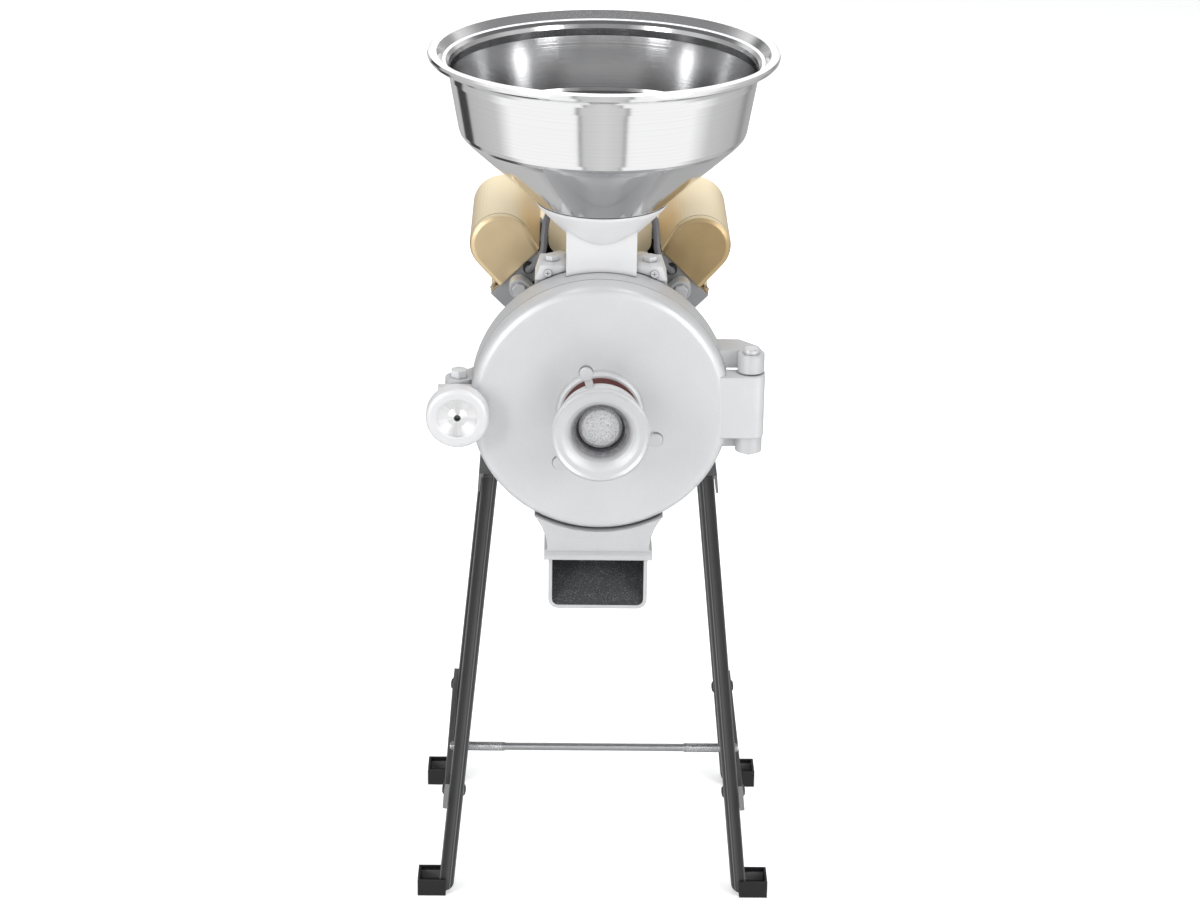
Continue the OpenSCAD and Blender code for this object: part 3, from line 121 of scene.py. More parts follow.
class Look:
    """A node tree that a finish is written in."""

    def __init__(self, tree):
        self.tree = tree

    def node(self, kind, settings=None, out=0, **slots):
        """A node's output; slots go by name, or by number after an underscore."""
        made = self.tree.nodes.new("ShaderNode" + kind)
        for name, value in (settings or {}).items():
            if name == "stops":
                ramp = made.color_ramp
                while len(ramp.elements) < len(value):
                    ramp.elements.new(0.5)
                for stop, (place, grey) in zip(ramp.elements, value):
                    stop.position = place
                    stop.color = (grey, grey, grey, 1)
            else:
                setattr(made, name, value)
        for name, value in slots.items():
            label = name.strip("_").replace("_", " ")
            slot = made.inputs[int(label)] if label.isdigit() else made.inputs[label]
            plug(self.tree, slot, value)
        return Socket(self.tree, made.outputs[out])

    def mix(self, factor, first, second):
        """The first colour where the factor is 0, the second where it is 1."""
        return self.node("Mix", {"data_type": "RGBA"}, out=2, _0=factor, _6=first, _7=second)

    def spread(self, value, low, high, bottom=0.0, top=1.0):
        """The value's stretch from low to high laid out from bottom to top."""
        return self.node("MapRange", _0=value, _1=low, _2=high, _3=bottom, _4=top)

    def axes(self, vector):
        """The x, y and z of a vector."""
        split = self.node("SeparateXYZ", _0=vector)
        return [Socket(self.tree, out) for out in split.out.node.outputs]


world = bpy.data.worlds.new("room")
world.use_nodes = True
bpy.context.scene.world = world
room = Look(world.node_tree)
across, along, height = room.axes(room.node("TexCoord", out="Generated"))
bearing = across.angle(along * -1) * (0.5 / math.pi) + 0.5
# What polished metal mirrors, from behind the mill by its left to the front, then by its
# right and behind again: degrees from the camera's side, and the wall's grey there.
panels = [
    (-180, 0.45), (-150, 0.55), (-146, 0.06), (-132, 0.06), (-128, 0.50), (-95, 0.60),
    (-80, 1.0), (-22, 1.0), (-20, 0.25), (-17, 0.62), (0, 0.70), (15, 0.62), (18, 0.28),
    (20, 1.0), (75, 1.0), (95, 0.60), (128, 0.48), (140, 0.30), (150, 0.42), (180, 0.45)]
walls = room.node("ValToRGB", {"stops": [(turn / 360 + 0.5, grey) for turn, grey in panels]},
    Fac=bearing)
# The ceiling darkens from its edge up. Heights are sines of the angle over the horizon.
ceiling_edge, ceiling_full, ceiling_grey = 0.30, 0.62, (0.22, 0.22, 0.225)
walls = room.mix(room.spread(height, ceiling_edge, ceiling_full), walls, ceiling_grey)
# A bright strip of wall behind, which the hopper's rim and the tops of the gold covers mirror
strip_low, strip_foot, strip_head, strip_high = 0.29, 0.34, 0.46, 0.56
strip_white = (1.15, 1.15, 1.15)
strip = (room.spread(along, 0.25, 0.60) * room.spread(height, strip_low, strip_foot)
    * room.spread(height, strip_head, strip_high, 1.0, 0.0))
walls = room.mix(strip, walls, strip_white)
in_mirrors = room.node("LightPath", out="Is Glossy Ray")
# Seen past the end of the floor the room is as pale as the paper
in_view = room.node("LightPath", out="Is Camera Ray")
air, room_level = (0.95, 0.96, 0.97), 0.55
sky = world.node_tree.nodes["Background"]
plug(world.node_tree, sky.inputs["Color"], room.mix(in_mirrors, air, walls))
plug(world.node_tree, sky.inputs["Strength"],
    (in_mirrors + in_view) * (1 - room_level) + room_level)

mill_middle = Vector((0, 0, 0.42))
for name, place, width, depth, watts, mirrored in (
        ("box_left", (-1.9, -2.0, 1.5), 0.8, 1.8, 26, True),
        ("box_right", (1.9, -2.0, 1.5), 0.8, 1.8, 26, True),
        ("box_top", (0, -0.4, 2.6), 1.6, 1.6, 30, False),
        ("box_back", (0.3, 2.4, 1.7), 1.8, 1.0, 16, False)):
    box = bpy.data.lights.new(name, "AREA")
    box.shape = "RECTANGLE"
    box.size, box.size_y, box.energy = width, depth, watts
    lamp = bpy.data.objects.new(name, box)
    bpy.context.scene.collection.objects.link(lamp)
    lamp.location = place
    lamp.visible_glossy = mirrored
    lamp.rotation_euler = (mill_middle - Vector(place)).to_track_quat("-Z", "Y").to_euler()

reach, under_boots = 30, -0.0002
floor_mesh = bpy.data.meshes.new("floor")
floor_mesh.from_pydata(
    [(-reach, -reach, 0), (reach, -reach, 0), (reach, reach, 0), (-reach, reach, 0)], [],
    [(0, 1, 2, 3)])
floor = bpy.data.objects.new("floor", floor_mesh)
bpy.context.scene.collection.objects.link(floor)
floor.location.z = under_boots
floor.visible_glossy = False
paper_white, paper_rough, paper_glow = 0.90, 0.9, 0.42
paper = bpy.data.materials.new("pale_paper")
paper.use_nodes = True
paper_look = Look(paper.node_tree)
sheet = paper.node_tree.nodes["Principled BSDF"]
sheet.inputs["Base Color"].default_value = (paper_white, paper_white, paper_white, 1)
sheet.inputs["Roughness"].default_value = paper_rough
sheet.inputs["Emission Color"].default_value = (1, 1, 1, 1)
plug(paper.node_tree, sheet.inputs["Emission Strength"],
    paper_look.node("LightPath", out="Is Camera Ray") * paper_glow)
floor_mesh.materials.append(paper)


# ------------------------------------------------------------------ boots
# Four moulded rubber boots pushed over the turned-out feet of the legs. Matt, with
# a fine moulded grain and dust along the edges.
class Finish(Look):
    """A material for CAD nodes and pieces; coordinates are millimetres on the piece."""

    def __init__(self, name):
        self.material = bpy.data.materials.new(name)
        self.material.use_nodes = True
        super().__init__(self.material.node_tree)
        self.skin = self.tree.nodes["Principled BSDF"]
        mm_per_m = 1000
        self.place = self.node("VectorMath", {"operation": "SCALE"},
            _0=self.node("TexCoord", out="Object"), Scale=mm_per_m)
        self.x, self.y, self.z = self.axes(self.place)

    def noise(self, size, detail=2.0, rough=0.5, stretch=None):
        """Soft noise with blobs of about size mm, from 0 to 1."""
        place = self.place
        if stretch:
            place = self.node("VectorMath", {"operation": "MULTIPLY"}, _0=place, _1=stretch)
        return self.node("TexNoise", out="Fac", Vector=place, Scale=1 / size, Detail=detail,
            Roughness=rough)

    def uneven(self, noise, bottom, top):
        """From bottom to top over the middle of the noise, where most of it lies."""
        most_from, most_to = 0.3, 0.7
        return self.spread(noise, most_from, most_to, bottom, top)

    def edges(self, radius):
        """1 on edges sharper than the radius in mm, 0 on flats."""
        cosine_flat, cosine_edge = 0.985, 0.90
        rounded = self.node("Bevel", {"samples": 4}, Radius=radius / 1000)
        flat = self.node("NewGeometry", out="Normal")
        same = self.node("VectorMath", {"operation": "DOT_PRODUCT"}, out="Value", _0=rounded,
            _1=flat)
        return self.spread(same, cosine_flat, cosine_edge)

    def crevice(self, distance, floor=0.2):
        """Floor in corners that open less than the distance in mm, 1 in the open."""
        shut, free = 0.25, 0.92
        open_sky = self.node("AmbientOcclusion", {"samples": 6}, out="AO",
            Distance=distance / 1000)
        return self.spread(open_sky, shut, free, floor, 1.0)

    def facing(self, direction, low, high):
        """How far the surface faces the direction: 0 at low, 1 at high."""
        dot = self.node("VectorMath", {"operation": "DOT_PRODUCT"}, out="Value",
            _0=self.node("NewGeometry", out="Normal"), _1=direction)
        return self.spread(dot, low, high)

    def relief(self, height, depth, radius=0.0):
        """A bump of the height map, depth in mm, on edges rounded by radius."""
        slots = {"Height": height, "Distance": depth / 1000, "Strength": 1.0}
        if radius:
            slots["Normal"] = self.node("Bevel", {"samples": 4}, Radius=radius / 1000)
        plug(self.tree, self.skin.inputs["Normal"], self.node("Bump", **slots))

    def surface(self, **values):
        """Sets or links the shader's slots, which go by name."""
        for name, value in values.items():
            plug(self.tree, self.skin.inputs[name.replace("_", " ")], value)

    def on(self, *names):
        """Puts the finish on CAD nodes."""
        for name in names:
            for slot in nodes[name].material_slots:
                slot.material = self.material


boot_black, boot_dust, dust_share = (0.012, 0.012, 0.013), (0.10, 0.10, 0.10), 0.6
boot_rubber = Finish("boot_rubber")
boot_grain = boot_rubber.noise(0.5, 2)
dusty = boot_rubber.noise(9, 3) * boot_rubber.edges(1.0) * dust_share
boot_rubber.surface(Base_Color=boot_rubber.mix(dusty, boot_black, boot_dust),
    Roughness=boot_rubber.uneven(boot_grain, 0.55, 0.7), Specular_IOR_Level=0.4)
boot_rubber.relief(boot_grain, 0.05, 0.6)
boot_rubber.on("rubber_boots")

# ------------------------------------------------------------------ legs
# Four legs bent from steel channel, splayed sideways, with a base bracket and side
# braces, all black powder coat that shines a little and is rubbed pale on its edges.
coat_black, rubbed_grey, rubbed_share = (0.022, 0.022, 0.023), (0.26, 0.26, 0.26), 0.6
powder_coat = Finish("black_powder_coat")
patches = powder_coat.noise(22, 3)
rubbed = powder_coat.edges(0.9) * powder_coat.spread(patches, 0.35, 0.6) * rubbed_share
# A leg's front flange leans with the leg. Across its front runs a painted soft sheen, pale at the
# rolled
# edges: places from 0 at the outer edge to 1 at the inner one, and the painted grey there.
foot_outside, leg_lean, flange_width = 132.6, 0.0998, 12.56
flange_reflection_greys = [
    (0.0, 0.20), (0.05, 0.05), (0.14, 0.012), (0.34, 0.020), (0.60, 0.065), (0.68, 0.020),
    (0.74, 0.16), (0.80, 0.015), (0.92, 0.05), (1.0, 0.18)]
from_outside = (powder_coat.z * -leg_lean + foot_outside - abs(powder_coat.x)) / flange_width
flange_reflection = powder_coat.node("ValToRGB", {"stops": flange_reflection_greys}, Fac=from_outside)
leg_front = powder_coat.facing((0, -1, 0), 0.80, 0.95)
powder_coat.surface(
    Base_Color=powder_coat.mix(
        rubbed, powder_coat.mix(leg_front, coat_black, flange_reflection), rubbed_grey),
    Roughness=powder_coat.uneven(patches, 0.34, 0.46), Metallic=0.0, Specular_IOR_Level=0.5,
    Coat_Weight=0.25, Coat_Roughness=0.25)
powder_coat.relief(powder_coat.noise(1.4, 2), 0.04, 0.7)
powder_coat.on("leg_front_left", "leg_front_right", "leg_rear_left", "leg_rear_right",
    "base_bracket", "side_braces", "brace_rivets")

# ------------------------------------------------------------------ tie rod and bolts
# A threaded tie rod with its nuts, and hexagon bolts, nuts, screws, pins and keys, all
# zinc plated, a little uneven in tone, with painted shade where a head meets its seat.
zinc_dark, zinc_pale, crevice_shade_grey = (0.76, 0.77, 0.79), (0.94, 0.94, 0.95), (0.08, 0.08, 0.085)
zinc_plate = Finish("zinc_plate")
zinc_cloud = zinc_plate.noise(5, 4, 0.6)
# Painted shade darkens the corners where a head meets its seat
zinc_plate.surface(
    Base_Color=zinc_plate.mix(
        zinc_plate.crevice(2.5), crevice_shade_grey, zinc_plate.mix(zinc_cloud, zinc_dark, zinc_pale)),
    Metallic=0.65, Roughness=zinc_plate.uneven(zinc_cloud, 0.26, 0.42))
zinc_plate.relief(zinc_plate.noise(0.35, 2), 0.02, 0.4)
zinc_plate.on("hinge_pin", "throat_bolts", "stationary_disc_screws", "disc_bolt",
    "shaft_keys", "clamp_bolt", "clamp_pivot_bolt", "body_bolts", "shield_pad_bolts",
    "shield_tie_bolts", "motor_foot_bolts", "leg_bolts")

rod_dark, rod_pale, rod_glint_white = (0.44, 0.45, 0.47), (0.64, 0.65, 0.66), (0.95, 0.95, 0.95)
bright_end_x, thread_pitch = 78, 1.0
rod_zinc = Finish("zinc_thread")
rod_cloud = rod_zinc.noise(6, 4, 0.6)
# Painted glints: pale specks on the threaded ends beyond bright_end_x
rod_painted_glints = rod_zinc.spread(rod_zinc.noise(0.8, 2), 0.45, 0.6) * (
    abs(rod_zinc.x) > bright_end_x)
rod_zinc.surface(
    Base_Color=rod_zinc.mix(
        rod_painted_glints, rod_zinc.mix(rod_cloud, rod_dark, rod_pale), rod_glint_white),
    Metallic=1.0, Roughness=rod_zinc.uneven(rod_cloud, 0.28, 0.45))
rod_zinc.relief(rod_zinc.x.wave(thread_pitch), 0.35, 0.4)
rod_zinc.on("tie_rod")

# ------------------------------------------------------------------ motor
# Finned aluminium housing in black satin paint, with machined seats for the capacitor
# covers, between two cast end shields in light grey, and a plastic fan behind them.
motor_black, worn_grey, machined = (0.018, 0.018, 0.020), (0.30, 0.31, 0.32), (0.40, 0.405, 0.41)
shaft_z, seat_root, seat_metal, worn_share = 472.0, 84.5, 0.3, 0.5
motor_paint = Finish("motor_paint")
motor_skin = motor_paint.noise(0.9, 3)
worn = (motor_paint.edges(0.8) * motor_paint.spread(motor_paint.noise(30, 3), 0.4, 0.6)
    * worn_share)
from_shaft = (motor_paint.x ** 2 + (motor_paint.z - shaft_z) ** 2) ** 0.5
seat = (from_shaft > seat_root) * (motor_paint.z > shaft_z)
motor_paint.surface(
    Base_Color=motor_paint.mix(
        seat, motor_paint.mix(worn, motor_black, worn_grey), machined),
    Metallic=seat * seat_metal, Roughness=motor_paint.uneven(motor_skin, 0.38, 0.52),
    Specular_IOR_Level=0.5)
motor_paint.relief(motor_skin, 0.06, 0.8)
motor_paint.on("motor_housing")

shield_dark, shield_pale, shield_crevice_shade = (0.58, 0.59, 0.60), (0.72, 0.73, 0.74), (0.06, 0.06, 0.065)
shield_paint = Finish("shield_paint")
shield_skin = shield_paint.noise(1.1, 3)
# Painted shade darkens the corners of the shields
shield_paint.surface(
    Base_Color=shield_paint.mix(
        shield_paint.crevice(4), shield_crevice_shade,
        shield_paint.mix(shield_paint.noise(26, 3), shield_dark, shield_pale)),
    Metallic=0.35, Roughness=shield_paint.uneven(shield_skin, 0.40, 0.55))
shield_paint.relief(shield_skin, 0.08, 0.8)
shield_paint.on("front_end_shield", "rear_end_shield")


def moulded(name, colour, grain_size, smooth, rough, depth, radius):
    """Moulded plastic or rubber of one colour, with a fine grain from the mould."""
    made = Finish(name)
    grain = made.noise(grain_size)
    made.surface(Base_Color=colour, Roughness=made.uneven(grain, smooth, rough))
    made.relief(grain, depth, radius)
    return made


moulded("fan_plastic", (0.02, 0.02, 0.022), 0.6, 0.42, 0.55, 0.03, 0.5).on("cooling_fan")

# ------------------------------------------------------------------ windings and rotor
# Stacked steel laminations with enamelled copper wound on them, on a turned shaft
# that runs in two sealed ball bearings. The guide pins of the head are turned too.
plate_thickness = 1.0
plates = Finish("laminations")
stack = plates.y.wave(plate_thickness)
plates.surface(Base_Color=plates.mix(stack, (0.10, 0.10, 0.11), (0.24, 0.24, 0.25)),
    Metallic=0.8, Roughness=plates.spread(stack, 0.2, 0.8, 0.45, 0.6))
plates.relief(stack, 0.1)
plates.on("stator_core", "rotor_core")

copper = Finish("enamelled_copper")
strands = copper.noise(1.0, 2, 0.5, (1, 0.3, 1))
copper.surface(Base_Color=copper.mix(strands, (0.30, 0.09, 0.035), (0.58, 0.22, 0.10)),
    Metallic=0.6, Roughness=copper.uneven(strands, 0.28, 0.45))
copper.relief(strands, 0.4)
copper.on("stator_windings")

turned = Finish("turned_steel")
lathe = turned.noise(0.5, 2, 0.5, (0.05, 1, 0.05))
turned.surface(Base_Color=turned.mix(lathe, (0.48, 0.48, 0.49), (0.64, 0.64, 0.65)),
    Metallic=1.0, Roughness=turned.uneven(lathe, 0.2, 0.32))
turned.relief(lathe, 0.015, 0.5)
turned.on("motor_shaft", "front_bearing", "rear_bearing", "guide_pins")

# ------------------------------------------------------------------ capacitors and leads
# Drawn aluminium cans under the gold covers, each with a sleeved lead that dips into
# the terminal box through a rubber grommet.
can = Finish("drawn_can")
drawn = can.noise(1.0, 3, 0.5, (1, 0.05, 1))
can.surface(Base_Color=(0.72, 0.72, 0.73), Metallic=1.0, Roughness=can.uneven(drawn, 0.25, 0.4))
can.relief(drawn, 0.02)
can.on("start_capacitor", "run_capacitor")

sleeve = Finish("lead_sleeve")
weave = sleeve.noise(0.5, 1)
sleeve.surface(Base_Color=sleeve.mix(weave, (0.10, 0.10, 0.11), (0.26, 0.26, 0.28)),
    Roughness=sleeve.uneven(weave, 0.45, 0.6))
sleeve.relief(weave, 0.05)
sleeve.on("capacitor_lead_left", "capacitor_lead_right")

# The head's gasket and the shaft's seal are of the same rubber as the grommets
moulded("black_rubber", (0.015, 0.015, 0.015), 0.5, 0.5, 0.68, 0.04, 0.5).on(
    "lead_grommets", "cover_gasket", "shaft_seal")

# ------------------------------------------------------------------ gold covers
# Drawn sheet covers over the fan, the terminals and the two capacitors, sprayed in a
# satin gold lacquer with a fine metal flake, held by small yellow zinc screws.
gold_dark, gold_pale, gold_lit_top = (0.64, 0.48, 0.27), (0.74, 0.58, 0.35), (1.0, 0.85, 0.57)
right_shaded_dark, right_shaded_pale = (0.44, 0.31, 0.145), (0.54, 0.39, 0.20)
left_lit_dark, left_lit_pale = (0.74, 0.57, 0.33), (0.84, 0.67, 0.42)
edge_reflection_brown, corner_shade_brown, gold_glint = (0.16, 0.10, 0.04), (0.10, 0.06, 0.02), (0.95, 0.84, 0.60)
edge_reflection_y, edge_reflection_width, satin_low, satin_high = -7.6, 1.6, 0.28, 0.38
flake_size, flake_depth, flake_few, flake_full, brush_size = 0.30, 0.015, 0.62, 0.72, 14
edge_reflection_share, glint_share, gold_metal, lit_top_metal = 0.75, 0.6, 0.65, 0.10
gold = Finish("gold_lacquer")
flake = gold.noise(flake_size, 1)
brushed = gold.noise(brush_size, 3)
# Painted light: the tops of the covers are paler and less metallic
upward = gold.facing((0, 0, 1), 0.1, 0.9)
lacquer = gold.mix(upward, gold.mix(brushed, gold_dark, gold_pale), gold_lit_top)
# Painted light and shade on the two front ends: the left one lighter, the right one darker
front_end = gold.facing((0, -1, 0), 0.7, 0.95)
lacquer = gold.mix(front_end * (gold.x > 0), lacquer, gold.mix(brushed, right_shaded_dark, right_shaded_pale))
lacquer = gold.mix(front_end * (gold.x < 0), lacquer, gold.mix(brushed, left_lit_dark, left_lit_pale))
# A painted dark reflection runs as a line round the cover behind the front end's rounded edge
edge_reflection_line = ((gold.y > edge_reflection_y) * (gold.y < edge_reflection_y + edge_reflection_width)
    * gold.facing((0, -1, 0), 0.5, 0.2))
lacquer = gold.mix(edge_reflection_line * edge_reflection_share, lacquer, edge_reflection_brown)
# Painted shade darkens the corners
lacquer = gold.mix(gold.crevice(4, 0.1), corner_shade_brown, lacquer)
gold.surface(
    Base_Color=gold.mix(
        gold.spread(flake, flake_few, flake_full) * glint_share, lacquer, gold_glint),
    Metallic=gold_metal - upward * (gold_metal - lit_top_metal),
    Roughness=gold.uneven(brushed, satin_low, satin_high))
gold.relief(flake, flake_depth, 0.9)
gold.on("fan_cover", "capacitor_cover_left", "capacitor_cover_right")

# Painted light: the terminal box and its lid get a paler, non-metallic copy of the gold, as it sits
# in shade between the covers
lit_box_gold = Finish("lit_gold_lacquer_box")
box_brushed = lit_box_gold.noise(brush_size, 3)
lit_box_gold.surface(
    Base_Color=lit_box_gold.mix(box_brushed, (0.97, 0.81, 0.54), (1.0, 0.88, 0.62)),
    Metallic=0.0, Roughness=lit_box_gold.uneven(box_brushed, satin_low, satin_high))
lit_box_gold.relief(lit_box_gold.noise(flake_size, 1), flake_depth, 0.9)
lit_box_gold.on("terminal_box", "terminal_box_lid")

yellow_zinc = Finish("yellow_zinc")
yellow_cloud = yellow_zinc.noise(2.5, 3)
yellow_zinc.surface(
    Base_Color=yellow_zinc.mix(yellow_cloud, (0.50, 0.36, 0.20), (0.66, 0.56, 0.40)),
    Metallic=1.0, Roughness=yellow_zinc.uneven(yellow_cloud, 0.25, 0.4))
yellow_zinc.relief(yellow_zinc.noise(0.3), 0.02, 0.3)
yellow_zinc.on("cover_screws")

# ------------------------------------------------------------------ switch and gland
# A moulded bezel and gland nut in black nylon, with a glossy red rocker in the bezel.
# The bezel snaps into the terminal box and the gland is screwed in beside it.
moulded("black_nylon", (0.018, 0.018, 0.018), 0.4, 0.35, 0.5, 0.02, 0.5).on(
    "switch_bezel", "cord_gland")
rocker = Finish("red_rocker")
rocker.surface(Base_Color=(0.42, 0.016, 0.012),
    Roughness=rocker.uneven(rocker.noise(3), 0.16, 0.24), Coat_Weight=0.3, Coat_Roughness=0.1)
rocker.relief(rocker.noise(4), 0.02, 0.6)
rocker.on("rocker_switch")


# ------------------------------------------------------------------ mill body and cover
# Grey iron castings sprayed with silver hammer paint, a little pebbled by the sand
# mould. The spout is dark and speckled inside, and the throat gets a paler copy of the paint as
# painted light.
cast_smooth, cast_rough, pebble_depth, silver_metal = 0.36, 0.50, 0.07, 0.35


def pebbled(finish):
    """The skin that the sand mould leaves, which the turned castings keep."""
    return finish.noise(1.6, 3, 0.6)


class CastPaint(Finish):
    """Silver paint on a sand casting: clouds of two greys on a pebbled skin."""

    def __init__(self, name, dark, pale, flaked=False):
        super().__init__(name)
        self.pebble = pebbled(self)
        self.paint = self.mix(self.noise(40, 3), dark, pale)
        if flaked:
            flake_size, few, full, glint_share = 0.35, 0.60, 0.72, 0.35
            glint = self.spread(self.noise(flake_size, 1), few, full) * glint_share
            self.paint = self.mix(glint, self.paint, (0.92, 0.92, 0.92))

    def with_crevice_shade(self, distance, floor=0.2):
        """The paint with painted shade darkening its corners."""
        return self.mix(self.crevice(distance, floor), (0.10, 0.10, 0.105), self.paint)

    def coat(self, colour, metal, depth):
        """The colour on the pebbled skin, which stands up by the depth in mm."""
        self.surface(Base_Color=colour, Metallic=metal,
            Roughness=self.uneven(self.pebble, cast_smooth, cast_rough))
        self.relief(self.pebble, depth, 1.2)


silver = CastPaint("silver_hammer_paint", (0.66, 0.665, 0.675), (0.75, 0.75, 0.755), True)
silver.coat(silver.with_crevice_shade(2.5, 0.55), silver_metal, pebble_depth)
silver.on("cover", "lock_nut")

# Inside the spout: below its root, above the floor that slopes up to the back, behind
# the mouth and between the side walls, in mm from the shaft and from the hopper's axis
hopper_forward = 70.0
spout_root, mouth_front, spout_half = -126.3, -59.8, 38
mouth_y, mouth_floor, floor_slope = -59, -168.5, 47 / 44
body_paint = CastPaint("silver_body_paint", (0.60, 0.605, 0.615), (0.69, 0.69, 0.695), True)
above_shaft, behind_hopper = body_paint.z - shaft_z, body_paint.y + hopper_forward
spout_floor = (behind_hopper - mouth_y) * floor_slope + mouth_floor
in_spout = ((above_shaft < spout_root) * (above_shaft - spout_floor > 0)
    * (behind_hopper > mouth_front) * (abs(body_paint.x) < spout_half))
speck_size, speck_few, speck_full, speck_share = 0.7, 0.60, 0.66, 0.6
speck = (body_paint.spread(body_paint.noise(speck_size, 1), speck_few, speck_full)
    * speck_share)
# Inside the spout the surface is dark, with pale specks
spout_inside_dark = body_paint.mix(speck, (0.045, 0.046, 0.048), (0.30, 0.30, 0.31))
body_paint.coat(body_paint.mix(in_spout, body_paint.with_crevice_shade(2.5, 0.55), spout_inside_dark),
    (1 - in_spout) * silver_metal, pebble_depth)
body_paint.on("mill_body", "discharge_spout")

# Painted light: a paler copy of the silver on the throat
lit_throat_paint = CastPaint("lit_silver_throat_paint", (0.78, 0.78, 0.785), (0.88, 0.88, 0.885))
lit_throat_paint.coat(lit_throat_paint.with_crevice_shade(5), 0.15, 0.05)
lit_throat_paint.on("feed_throat")

# ------------------------------------------------------------------ grinding discs
# Chilled iron discs with slanted furrows, ground flat, one on the shaft and one on the
# spindle, and the cast feed screw behind them.
iron = Finish("ground_iron")
streak = iron.noise(0.6, 2, 0.5, (1, 0.1, 0.15))
iron.surface(
    Base_Color=iron.mix(iron.noise(18, 4, 0.6), (0.14, 0.138, 0.135), (0.27, 0.268, 0.265)),
    Metallic=0.85, Roughness=iron.uneven(streak, 0.34, 0.5))
iron.relief(streak, 0.03, 0.5)
iron.on("stationary_disc", "rotating_disc", "feed_screw")

# ------------------------------------------------------------------ dust seal
# A thin red rubber ring, moulded, that is pushed over the boss of the cover and
# closes it behind the lock nut.
moulded("red_rubber", (0.13, 0.045, 0.04), 0.5, 0.45, 0.6, 0.03, 0.4).on("dust_seal")

# ------------------------------------------------------------------ knob and handwheel
# Turned castings in the same silver. Inside the knob's cup, round the pitted end of the
# spindle, shade is painted darker, and the handwheel's face is turned bright, with painted
# highlights in rays round its centre. The cup is in mm from the hopper's axis and the spindle.
cup_lip_y, cup_deep_y, cup_wall_r, cup_shade_r = -110, -100, 26, 20
knob_paint = CastPaint("silver_knob_paint", (0.60, 0.605, 0.615), (0.69, 0.69, 0.695))
from_spindle = (knob_paint.x ** 2 + (knob_paint.z - shaft_z) ** 2) ** 0.5
# Painted shade inside the cup, darker deeper in and nearer the spindle
cup_shade = (knob_paint.spread(knob_paint.y + hopper_forward, cup_lip_y, cup_deep_y)
    * knob_paint.spread(from_spindle, cup_wall_r, cup_shade_r)
    * knob_paint.spread(knob_paint.noise(3, 3), 0.2, 0.6, 0.75, 1.0))
knob_paint.coat(knob_paint.mix(cup_shade, knob_paint.paint, (0.13, 0.125, 0.14)),
    silver_metal, pebble_depth)
knob_paint.on("adjusting_knob")

# The wheel's middle and its turned face, with the hole for the stud, in mm
wheel_x, face_r, face_y, groove_pitch = -110.8, 15.2, -74, 0.6
stud_hole_r, stud_hole_soft = 2.2, 3.2
face_metal, face_polish = 0.45, 0.08
face_silver = (0.80, 0.80, 0.81)
wheel = Finish("silver_handwheel")
wheel_pebble = pebbled(wheel)
aside, rise = wheel.x - wheel_x, wheel.z - shaft_z
from_stud = (aside ** 2 + rise ** 2) ** 0.5
# Painted highlights in rays round the centre of the turned face
spun_highlights = wheel.node("TexNoise", {"noise_dimensions": "1D"}, out="Fac", W=rise.angle(aside),
    Scale=1.6, Detail=6.0, Roughness=0.65)
turned_face = (from_stud < face_r) * (wheel.y + hopper_forward < face_y)
spun_face_light = wheel.mix(wheel.spread(spun_highlights, 0.35, 0.65), face_silver, (0.98, 0.98, 0.98))
# The stud's hole is a painted dark spot of shade on the face
spun_face_light = wheel.mix(
    wheel.spread(from_stud, stud_hole_soft, stud_hole_r), spun_face_light, (0.05, 0.05, 0.05))
wheel.surface(Base_Color=wheel.mix(turned_face, face_silver, spun_face_light),
    Metallic=turned_face * face_metal + silver_metal,
    Roughness=wheel.uneven(wheel_pebble, cast_smooth, cast_rough) - turned_face * face_polish)
grooves = from_stud.wave(groove_pitch)
wheel.relief(wheel.node("Mix", _0=turned_face, _2=wheel_pebble, _3=grooves), 0.06, 1.0)
wheel.on("clamp_handwheel")

cast_end = Finish("pitted_silver")
pits = cast_end.spread(cast_end.noise(0.8, 3, 0.7), 0.36, 0.48)
smooth_end = cast_end.mix(cast_end.noise(12, 3), (0.62, 0.62, 0.63), (0.80, 0.80, 0.81))
cast_end.surface(Base_Color=cast_end.mix(pits, (0.28, 0.28, 0.29), smooth_end), Metallic=0.4,
    Roughness=cast_end.spread(pits, 0, 1, 0.6, 0.38))
cast_end.relief(pits, 0.15, 0.5)
cast_end.on("pressure_spindle")

# ------------------------------------------------------------------ lock nut lugs
# Round heads cast on the three lugs of the lock nut, for a tap with a mallet, silver
# round their sides with a painted dark reflection in front. Each is a disc with chamfered edges, in
# mm.
head_r, head_from_axis, lug_turns = 5.6, 44.6, (105, 225, 345)
head_front, head_back, head_edge, edge_bend, steps = -161.6, -156.2, 1.4, 0.3, 32
profile = [
    (head_r - head_edge, head_front),
    (head_r - head_edge * edge_bend, head_front + head_edge * edge_bend),
    (head_r, head_front + head_edge),
    (head_r, head_back - head_edge),
    (head_r - head_edge, head_back)]
points, faces = [], []
for lug_turn in (math.radians(turn) for turn in lug_turns):
    middle_x = head_from_axis * math.cos(lug_turn)
    middle_z = head_from_axis * math.sin(lug_turn) + shaft_z
    first = len(points)
    for radius, y in profile:
        for step in range(steps):
            a = 2 * math.pi * step / steps
            x, z = middle_x + radius * math.cos(a), middle_z + radius * math.sin(a)
            points.append((x / 1000, y / 1000, z / 1000))
    last = first + (len(profile) - 1) * steps
    for low in range(first, last, steps):
        high = low + steps
        for step in range(steps):
            after = (step + 1) % steps
            faces.append((low + step, low + after, high + after, high + step))
    faces.append(tuple(range(first, first + steps))[::-1])
    faces.append(tuple(range(last, last + steps)))
head_mesh = bpy.data.meshes.new("lock_nut_lug_heads")
head_mesh.from_pydata(points, [], faces)
head_mesh.update()
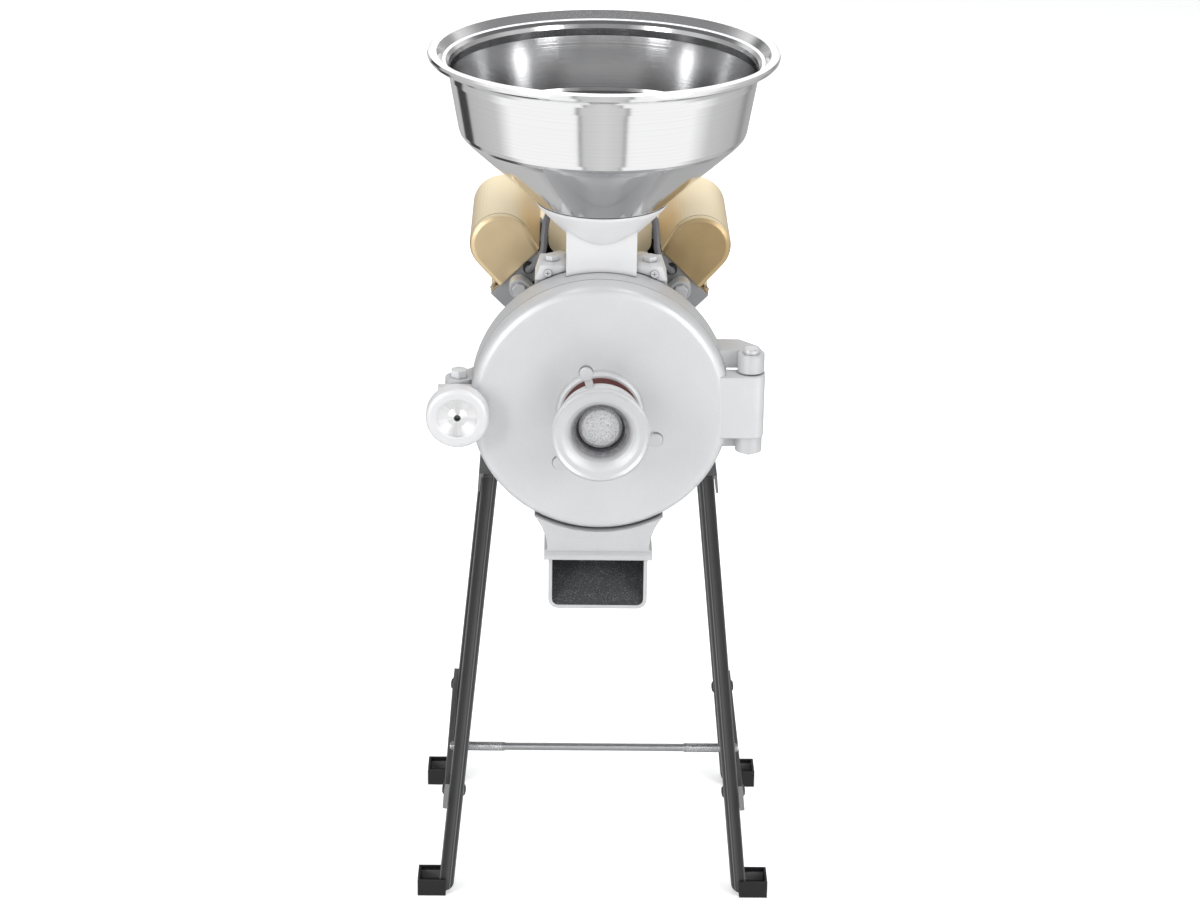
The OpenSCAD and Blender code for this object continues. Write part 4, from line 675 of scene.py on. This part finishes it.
heads = bpy.data.objects.new("lock_nut_lug_heads", head_mesh)
bpy.context.scene.collection.objects.link(heads)
for face in head_mesh.polygons:
    face.use_smooth = len(face.vertices) == 4
head_paint = Finish("silver_lug_paint")
head_pebble = pebbled(head_paint)
# Painted dark reflection on the fronts of the heads
head_front_reflection = head_paint.facing((0, -1, 0), 0.55, 0.9)
head_paint.surface(
    Base_Color=head_paint.mix(head_front_reflection, (0.22, 0.22, 0.225), (0.80, 0.80, 0.81)),
    Metallic=silver_metal, Roughness=head_paint.uneven(head_pebble, cast_smooth, cast_rough))
head_paint.relief(head_pebble, pebble_depth)
head_mesh.materials.append(head_paint.material)
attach(heads, "lock_nut")

# ------------------------------------------------------------------ hopper
# Spun from stainless sheet with a rolled rim, polished to a mirror, with faint rings
# from the spinning and small scratches. It stands loose in the throat's dish.
# Next come the rim's inner radius, and heights over the floor in mm.
rim_r, cone_top, bowl_low, foot_low, foot_high = 121, 684, 640, 668, 712
rim_metal, rim_haze, bowl_haze = 0.1, 0.15, 0.06
mirror = Finish("polished_stainless")
rings = mirror.node("TexNoise", {"noise_dimensions": "1D"}, out="Fac", W=mirror.z, Scale=0.7,
    Detail=3.0, Roughness=0.6)
scratches = mirror.noise(0.5, 3, 0.6, (1, 1, 0.03))
hopper_y = mirror.y + hopper_forward
rim = mirror.facing((0, 0, 1), 0.55, 0.85) * ((mirror.x ** 2 + hopper_y ** 2) ** 0.5 > rim_r)
outward = mirror.node("VectorMath", {"operation": "NORMALIZE"},
    _0=mirror.node("CombineXYZ", _0=mirror.x, _1=hopper_y))
in_bowl = mirror.facing(outward, 0.05, -0.05) * (mirror.z > bowl_low)
polish = mirror.mix(rings, (0.86, 0.86, 0.865), (0.94, 0.94, 0.945))
# Painted reflection: the rolled rim is white and nearly non-metallic
polish = mirror.mix(rim, polish, (1.0, 1.0, 1.0))
# A painted dark reflection on the cone where it turns down to the front
cone_front = (0, -0.72, -0.69)
cone_front_reflection = mirror.facing(cone_front, 0.93, 0.985) * (mirror.z < cone_top)
polish = mirror.mix(cone_front_reflection, polish, (0.52, 0.52, 0.525))
# Painted shade in the bowl, darker towards its foot, which mirrors itself
bowl_shade = mirror.mix(
    mirror.spread(mirror.z, foot_low, foot_high), (0.20, 0.20, 0.205), (0.60, 0.60, 0.605))
mirror.surface(Base_Color=mirror.mix(in_bowl * (1 - rim), polish, bowl_shade),
    Metallic=1 - rim * (1 - rim_metal),
    Roughness=mirror.uneven(scratches, 0.06, 0.13) + rim * rim_haze + in_bowl * bowl_haze)
mirror.relief(rings * (1 - rim), 0.02)
mirror.on("hopper")
